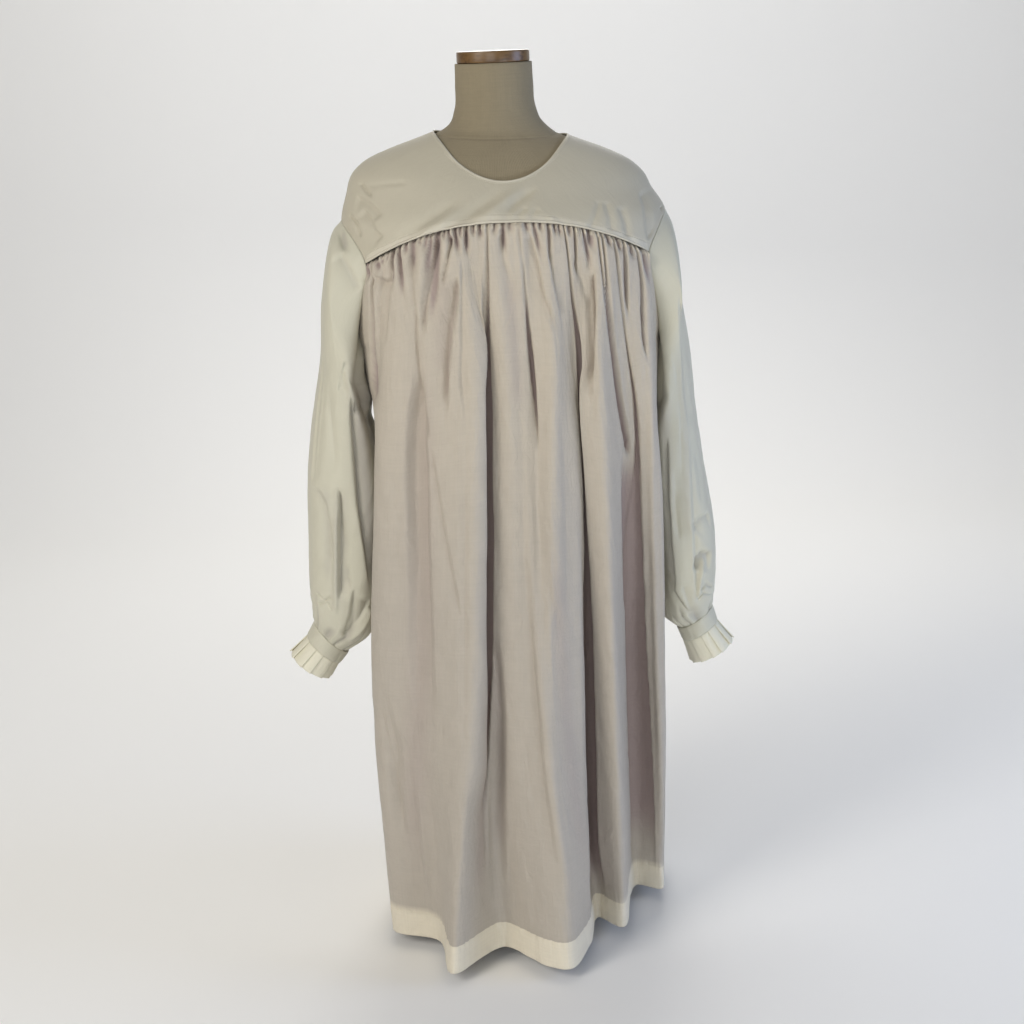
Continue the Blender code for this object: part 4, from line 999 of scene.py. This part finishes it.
def beech_wood():
    """Varnished beech: fine pale grain with short dark flecks along it."""
    made, tree, shader = material("Beech, varnished")
    place = add(tree, "ShaderNodeTexCoord", {}).outputs["Object"]
    fleck = noise(tree, place, (14.0, 260.0, 260.0), 4.0)
    broad = noise(tree, place, (3.0, 45.0, 45.0), 2.0)
    tone = ramp(tree, maths(tree, "ADD", fleck, broad), (0.75, "#4b3417"), (1.25, "#6b4f2a"))
    connect(tree, shader, {"Base Color": tone, "Normal": raised(tree, fleck, 0.15, 0.0002),
                           "Roughness": 0.38, "Coat Weight": 0.3, "Coat Roughness": 0.25})
    return made


def painted_iron():
    """Cast iron under satin black paint, slightly orange-peeled and uneven in tone."""
    made, tree, shader = material("Painted iron")
    place = add(tree, "ShaderNodeTexCoord", {}).outputs["Object"]
    peel = noise(tree, place, 320.0, 2.0)
    tone = ramp(tree, noise(tree, place, 30.0, 3.0), (0.0, "#1d1d1e"), (1.0, "#2c2c2d"))
    connect(tree, shader, {"Base Color": tone, "Normal": raised(tree, peel, 0.2, 0.0002),
                           "Roughness": 0.42})
    return made


def band_mask(z):
    """Where the turned-up hem lies, as 1."""
    top = HEM_Z + HEM_BAND
    return 1 - ease(top - 0.0004, top + 0.0004, z)


def hem_relief(grid, out, z, columns):
    """The turned-up hem: a second layer with a puckered stitched top."""
    above = (z - HEM_Z - HEM_BAND) / 0.010
    pucker = 0.0013 * bell(above - 0.1, 1.0) * ruffle(HEM_PUCKERS * columns, 0.0 * z, 1.3)
    pucker = pucker - 0.0009 * bell(above + 0.15, 0.18)
    return grid + out * (0.0005 * band_mask(z) + pucker)[..., None]


def skirt_folds(grid, fall, z, front):
    """Depth of all folds at each place, and how deep in shade it lies. The back's are the front's."""
    x = grid[..., 0] if front else BACK_SCALE * grid[..., 0] + BACK_SHIFT
    deep = np.zeros(x.shape)
    for stations in FRONT_STRIPS.values():
        deep = np.maximum(deep, fold_depth(stations, STRIP_SOFT, x, z))
    most = STRIP_MOST if front else BACK_STRIP_MOST
    deep = most * np.tanh(deep / most)
    # Painted shade: the cloth's colour darkens in the deep narrow folds, the gathers' valleys, the drawn
    # creases and the shaded bands
    shade = ease(0.003, 0.010, deep)
    valleys = GATHERS_BY * small_gathers(FRONT_GATHER_TABLE, x, fall)
    shade = np.maximum(shade, 0.9 * ease(0.0015, 0.007, valleys))
    deep = np.maximum(deep, valleys)
    for soft, *stations in SOFT_FOLDS.values():
        deep = deep + SOFT_FOLDS_BY * fold_depth(stations, soft / 1000, x, z)
    drawn, dark = creases(FRONT_CREASES, x, z)
    faint, _ = creases(fine_creases(FINE_CREASES, 0.3, 90, 900), x, z)
    drawn = CREASES_BY * drawn + FAINT_CREASES_BY * faint
    shade = np.maximum.reduce([shade, 0.7 * dark, bands_of_shade(FRONT_BANDS, x, z)])
    if not front:
        drawn, shade = 0.7 * drawn, 0.5 * shade
    return deep + drawn + dents(FRONT_DENTS, x, z), shade


def free_cloth_shade(z):
    """Where the cloth hangs free of the form, with only the dark inside behind it: a painted shade,
    darker towards the bottom.
    """
    return ease(0.0, 1.0, (0.92 - z) / 0.45)


def skirt(front, count, rows):
    """The gathered front or back, with its turned-up hem and the stitches that hold it.

    It has that many columns, and rows below the armholes.
    """
    word, facing = ("front", -1) if front else ("back", 1)
    columns = np.linspace(0, 1, count)
    grid, fall, z = (front_grid if front else back_grid)(columns, rows)
    out = toward(level(normals(grid)), facing)
    deep, shade = skirt_folds(grid, fall, z, front)
    if not front:
        level_part = ease(0.30, 0.75, np.abs(out[..., 1]))
        deep, shade = deep * level_part, shade * level_part
    crumple = 0.0008 * ruffle(46 * columns, 16 * z, 0.4)
    crumple = crumple + 0.00045 * ruffle(120 * columns, 48 * z, 2.2)
    # Under the seam the cloth puffs out, with small teeth, and its edge is tucked in behind the yoke
    teeth = ruffle(330 * columns, 60 * fall, 0.6)
    puff = 0.0034 * window((0.0, 0.008), (0.02, 0.09), fall)
    puff = puff + 0.0020 * teeth * window((0.0, 0.002), (0.004, 0.018), fall)
    tucked = 0.0020 * (1 - ease(0.0, 0.005, fall))
    caught = ease(0.0, 0.6, teeth) * (1 - ease(0.004, 0.009, fall))
    edge = ease(0.0, 0.03, np.minimum(columns, 1 - columns))
    rise = edge * (puff - deep + crumple * ease(0.02, 0.15, fall)) - tucked
    grid = hem_relief(grid + out * rise[..., None], out, z, columns)
    # The skirt's colour carries painted shade in its folds and where it hangs free
    made, out = cloth_piece(f"{word}_skirt", grid, skirt_cotton, hollow_shade=shade,
                            double=np.maximum(band_mask(z), caught), free=free_cloth_shade(z))
    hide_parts(f"{word}_panel")
    row = int(np.argmin(np.abs(z[:, count // 2] - HEM_Z - HEM_BAND + HEM_STITCH_DOWN)))
    sewn = stitches(f"{word}_hem_stitches", grid[row], toward(out[row], facing))


def yoke_piece(front):
    """The yoke, with its faced neck, its turned-in lower edge and the folds drawn across it."""
    word = "front" if front else "back"
    rows = np.concatenate([[0.0, 0.012, 0.026, 0.034], np.linspace(0.05, 0.9, 62),
                           np.linspace(0.9, 1.0, 26)[1:]])
    grid = yoke_grid(front, rows)
    number = np.arange(grid.shape[1])
    from_shoulder = np.minimum(number, number[::-1])
    sewn = 1.0 * (from_shoulder > HOLE_STEPS)
    out = normals(grid)
    if out[..., 2].mean() < 0:
        out = -out
    run = np.cumsum(np.linalg.norm(np.diff(grid, axis=0, prepend=grid[:1]), axis=-1), 0)
    above = run[-1:] - run
    across = grid[..., 0] * (1.0 if front else BACK_YOKE_SCALE)
    up = grid[..., 2] + (0.0 if front else BACK_YOKE_DOWN)
    deep, shade = creases(YOKE_CREASES, across, up)
    along_seam = np.cumsum(np.linalg.norm(np.diff(grid[-1], axis=0, prepend=grid[-1][:1]), axis=-1))
    band = (1 - ease(TOPSTITCH_UP - 0.0006, TOPSTITCH_UP + 0.0006, above)) * sewn
    pucker = ruffle(150 * along_seam, 30 * above, 0.7) * bell(above - 0.004, 0.008)
    groove = bell(above - TOPSTITCH_UP, 0.0012)
    rim = 1 - ease(0.0015, 0.0032, run)
    lip = bell(above - 0.0015, 0.0016) - 1.2 * bell(above, 0.0005)
    rise = 0.0004 * band + 0.0006 * rim + sewn * (0.0012 * pucker + 0.0009 * lip - 0.0005 * groove)
    rise = rise + 0.0005 * ruffle(38 * across, 44 * grid[..., 2], 1.1) * ease(0.005, 0.02, run)
    near_edge = np.where(sewn > 0, ease(0.0, 0.004, above), ease(0.001, 0.011, above))
    rise = rise - YOKE_CREASES_BY * deep * near_edge * ease(0.0, 0.01, run)
    grid = grid + out * (rise * ease(0, 4, from_shoulder))[..., None]
    # The yoke's colour carries painted shade along its drawn creases
    made, out = cloth_piece(f"{word}_yoke_cloth", grid, yoke_cotton,
                            double=np.maximum(0.8 * band, rim), hollow_shade=0.6 * shade, thick=YOKE_CLOTH)
    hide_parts(f"{word}_yoke")
    for name, far, at, skipped in (("seam", above, TOPSTITCH_UP, HOLE_STEPS + 4),
                                   ("neck", run, NECK_STITCH_IN, 0)):
        columns = number[skipped:len(number) - skipped]
        spots = np.argmin(np.abs(far[:, columns] - at), 0)
        lift = out[spots, columns]
        lift = lift * np.sign(lift[:, 2].mean())
        stitches(f"{word}_{name}_stitches", grid[spots, columns], lift)


def sleeve(side):
    word = SIDES[side]
    clocks = np.arange(0, 360, 1.8)
    steps = np.concatenate([np.linspace(0, 7, 130), np.linspace(7, 9, 80)[1:]])
    grid, shade = sleeve_grid(side, clocks, steps)
    # The sleeve's colour carries painted shade along its creases, bands and wrist gathers
    made, _ = cloth_piece(f"{word}_sleeve_cloth", grid, sleeve_cotton, around=True,
                          hollow_shade=0.7 * shade)
    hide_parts(f"sleeve_{word}")


def wrist(side):
    """The wristband, with its pressed edges and the lap over its opening."""
    word = SIDES[side]
    turn = np.linspace(0, 2 * math.pi, 128, endpoint=False)
    share = np.linspace(0, 1, 14)[:, None]
    first, last = ring(SLEEVES[side][-1], turn), ring(CUFFS[side][0], turn)
    grid = first + (last - first) * share[..., None]
    out = normals(grid, True)
    if (out * (grid - grid.mean((0, 1)))).sum() < 0:
        out = -out
    edge = bell(share, 0.07) + bell(1 - share, 0.07)
    lap_start = 2.05 if side > 0 else 2.45
    lap = window((lap_start - 0.03, lap_start), (lap_start + 0.5, lap_start + 0.8), turn)
    soft = 0.0005 * ruffle(6 * turn, 2 * share, 0.5 + side)
    grid = grid + out * (0.0007 - 0.0006 * edge + 0.0013 * lap + soft)[..., None]
    band, _ = cloth_piece(f"{word}_wristband", grid, sleeve_cotton, around=True,
                          thick=WRISTBAND_CLOTH)
    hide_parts(f"wristband_{word}")


def frill(side):
    """The pleated frill. A pleat runs on, folds back under itself and runs on again."""
    word = SIDES[side]
    turned_on = np.array([0.0, 0.10, 0.72, 1.22, 1.26, 1.24, 1.00, 0.94])
    height = np.array([-0.9, -0.8, -0.1, 0.75, 0.6, 0.2, -0.6, -1.0])
    number = np.arange(FRILL_PLEATS)[:, None]
    turn = (number + turned_on + 0.10 * np.sin(2.3 * number)).ravel() * (2 * math.pi / FRILL_PLEATS)
    height = (height * (1 + 0.2 * np.sin(1.7 * number))).ravel()
    down = np.linspace(0, 1, 18)[:, None]
    head, foot = (ring(row, turn) for row in CUFFS[side])
    grid = head + (foot - head) * down[..., None]
    out = unit(grid - grid.mean(1, keepdims=True))
    sag = 0.0012 * np.sin(2.1 * turn + side) * down ** 2
    grid = grid + out * ((0.0007 + 0.0016 * down) * height + sag)[..., None]
    made, _ = cloth_piece(f"{word}_frill", grid, frill_cotton, around=True,
                          thick=FRILL_CLOTH)
    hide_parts(f"frill_{word}")


def torso():
    """The padded form under its linen cover, with the seam round the foot of the neck."""
    turn = np.linspace(0, 2 * math.pi, 128, endpoint=False)
    # Heights and ring counts, closest where the neck opening shows the form
    parts = ((FORM[0][0], 1.0, 30), (1.0, 1.147, 32), (1.147, 1.170, 34), (1.170, FORM[-1][0], 24))
    heights = np.concatenate([[FORM[0][0]]] + [np.linspace(*part)[1:] for part in parts])
    size = section(FORM, heights)
    deep = np.where(np.sin(turn) < 0, size[:, 1:2], size[:, 2:3])
    x, y, z = np.broadcast_arrays(size[:, :1] * np.cos(turn), deep * np.sin(turn), heights[:, None])
    grid = np.stack([x, y, z], -1)
    out = level(normals(grid, True))
    seam = bell(z - NECK_SEAM_Z - 0.10 * (y + 0.055), 0.0011)
    grid = grid - out * np.sign((out * grid).sum()) * (0.0012 * seam)[..., None]
    grid[..., 2] += SHOULDER_LEAN * grid[..., 0] * window((1.05, 1.12), (1.16, 1.18), z)
    made, _ = cloth_piece("linen_torso", grid, linen, around=True, thick=LINEN_CLOTH)
    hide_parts("form_torso")


def camera():
    """The photo's view: a little above the neck, looking down at the skirt, slightly rolled."""
    view = bpy.data.cameras.new("photo view")
    sensor, focal, width = 36.0, 1800, 1024
    view.sensor_width = sensor
    view.lens = sensor * focal / width
    eye = put("photo view", view)
    place, tilt, roll = (0.0, -2.52, 1.30), math.radians(75.0), math.radians(-2.4)
    eye.matrix_world = (Matrix.Translation(place) @ Matrix.Rotation(tilt, 4, "X")
                        @ Matrix.Rotation(roll, 4, "Z"))
    bpy.context.scene.camera = eye


def backdrop():
    """A pale floor that curves up into a wall."""
    reach, bend, back, half_width, top = 4.0, 1.2, 3.4, 6.0, 4.0
    profile = [(-reach, 0.0), (back - bend, 0.0)]
    profile += [(back - bend + bend * math.sin(a), bend - bend * math.cos(a))
                for a in np.linspace(0, math.pi / 2, 24)[1:]]
    profile += [(back, top)]
    points = [(x, y, z) for y, z in profile for x in (-half_width, half_width)]
    faces = [(2 * n, 2 * n + 1, 2 * n + 3, 2 * n + 2) for n in range(len(profile) - 1)]
    smooth_mesh("backdrop", points, [], faces, plain("Backdrop paper", "#f4f3f0", 0.9))


def lamp(name, place, aim, size, power, colour):
    light = bpy.data.lights.new(name, "AREA")
    light.shape = "SQUARE"
    light.size = size
    light.energy = power
    light.color = hex_colour(colour)[:3]
    made = put(name, light)
    made.location = place
    made.rotation_euler = (Vector(aim) - Vector(place)).to_track_quat("-Z", "Y").to_euler()


def studio():
    """Soft daylight from the left front, a cooler weak light from the right, pale surroundings."""
    world = bpy.data.worlds.new("pale surroundings")
    bpy.context.scene.world = world
    world.use_nodes = True
    tree = world.node_tree
    # The surroundings look paler than the light they give, which is mostly the lamps' work
    seen = add(tree, "ShaderNodeLightPath", {}).outputs["Is Camera Ray"]
    strength = add(tree, "ShaderNodeMapRange", {"Value": seen, "To Min": 0.17, "To Max": 0.8})
    connect(tree, tree.nodes["Background"], {"Color": hex_colour("#ffffff"),
                                             "Strength": strength.outputs[0]})
    lamp("high window", (-2.2, -2.4, 2.9), (0.0, 0.0, 0.95), 1.2, 42, "#fffcf5")
    lamp("window", (-2.6, -2.3, 1.7), (0.0, 0.0, 0.75), 1.5, 27, "#fff7ee")
    lamp("light from the floor", (1.7, -2.4, 0.25), (0.15, 0.0, 0.5), 1.0, 24, "#f2f8ff")
    lamp("room behind the camera", (-0.5, -3.5, 1.4), (0.1, 0.0, 0.6), 1.6, 23, "#ffffff")
    lamp("far window", (2.7, -0.5, 1.1), (0.2, 0.0, 0.7), 1.3, 24, "#b4ceff")
    lamp("light on the back", (0.2, 2.6, 2.0), (0.0, 0.0, 0.7), 1.2, 18, "#fffdf8")
    lamp("light on the wall", (0.0, 1.4, 3.2), (0.0, 3.4, 0.9), 2.0, 34, "#ffffff")
    bpy.context.scene.view_settings.view_transform = "Standard"


# Finishes
THREAD = 0.0011   # a cotton thread is 0.35 mm across, drawn three together so that it shows
# Each cloth's second colour is a painted shade where it hangs free, its third a painted shade in the
# hollows
skirt_cotton = woven("Plain-woven cotton, gathered", ("#bdb4a5", "#b2aa9e", "#9e8e89", "#dcd4c1"),
                     THREAD, 0.54, 0.12, 0.07, 0.5)
yoke_cotton = woven("Plain-woven cotton, double", ("#bab4a2", "#bab4a2", "#9a938a", "#cac4b3"),
                    THREAD, 0.60, 0.15, 0.022, 0.14)
sleeve_cotton = woven("Plain-woven cotton, sleeve", ("#c5c2b0", "#c5c2b0", "#9b9691", "#cecab8"),
                      THREAD, 0.56, 0.15, 0.024, 0.16)
frill_cotton = woven("Plain-woven cotton, pleated", ("#e0dcc8", "#e0dcc8", "#b9b5a6", "#e0dcc8"),
                     THREAD, 0.66, 0.15, 0.02, 0.25)
linen = woven("Natural linen", ("#8f846c", "#8f846c", "#7f745e", "#9a8f76"),
              0.0016, 0.85, 0.10, 0.10, 0.8, 0.0004)
thread = plain("Sewing thread", "#d8d0bd", 0.5)
beech = beech_wood()
iron = painted_iron()

camera()
backdrop()
studio()
skirt(front=True, count=391, rows=80)
skirt(front=False, count=341, rows=78)
for front in (True, False):
    yoke_piece(front)
for side in SIDES:
    sleeve(side)
    wrist(side)
    frill(side)
torso()

cap_low, cap_height, cap_radius, cap_flat = FORM[-1][0] + 0.0003, 0.0155, 0.0497, 0.020
cap_top = cap_low + cap_height
cap = turned("beech_cap", rounded([(0.0, cap_top), (cap_flat, cap_top), (cap_radius, cap_top),
                                   (cap_radius, cap_low), (cap_flat, cap_low), (0.0, cap_low)], 0.0022),
             96, beech)
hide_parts("form_neck_cap")
pole_low, pole_top, pole_radius = 0.0303, 0.4497, 0.0125
pole = turned("iron_pole", [(0.0, pole_top), (pole_radius, pole_top), (pole_radius, pole_low),
                            (0.0, pole_low)], 48, iron)
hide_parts("stand_pole")
base = turned("iron_base", rounded([(0.0, 0.030), (0.010, 0.030), (0.024, 0.030), (0.030, 0.014),
                                    (0.106, 0.010), (0.112, 0.006), (0.112, 0.0), (0.0, 0.0)], 0.003),
              128, iron)
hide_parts("stand_base")
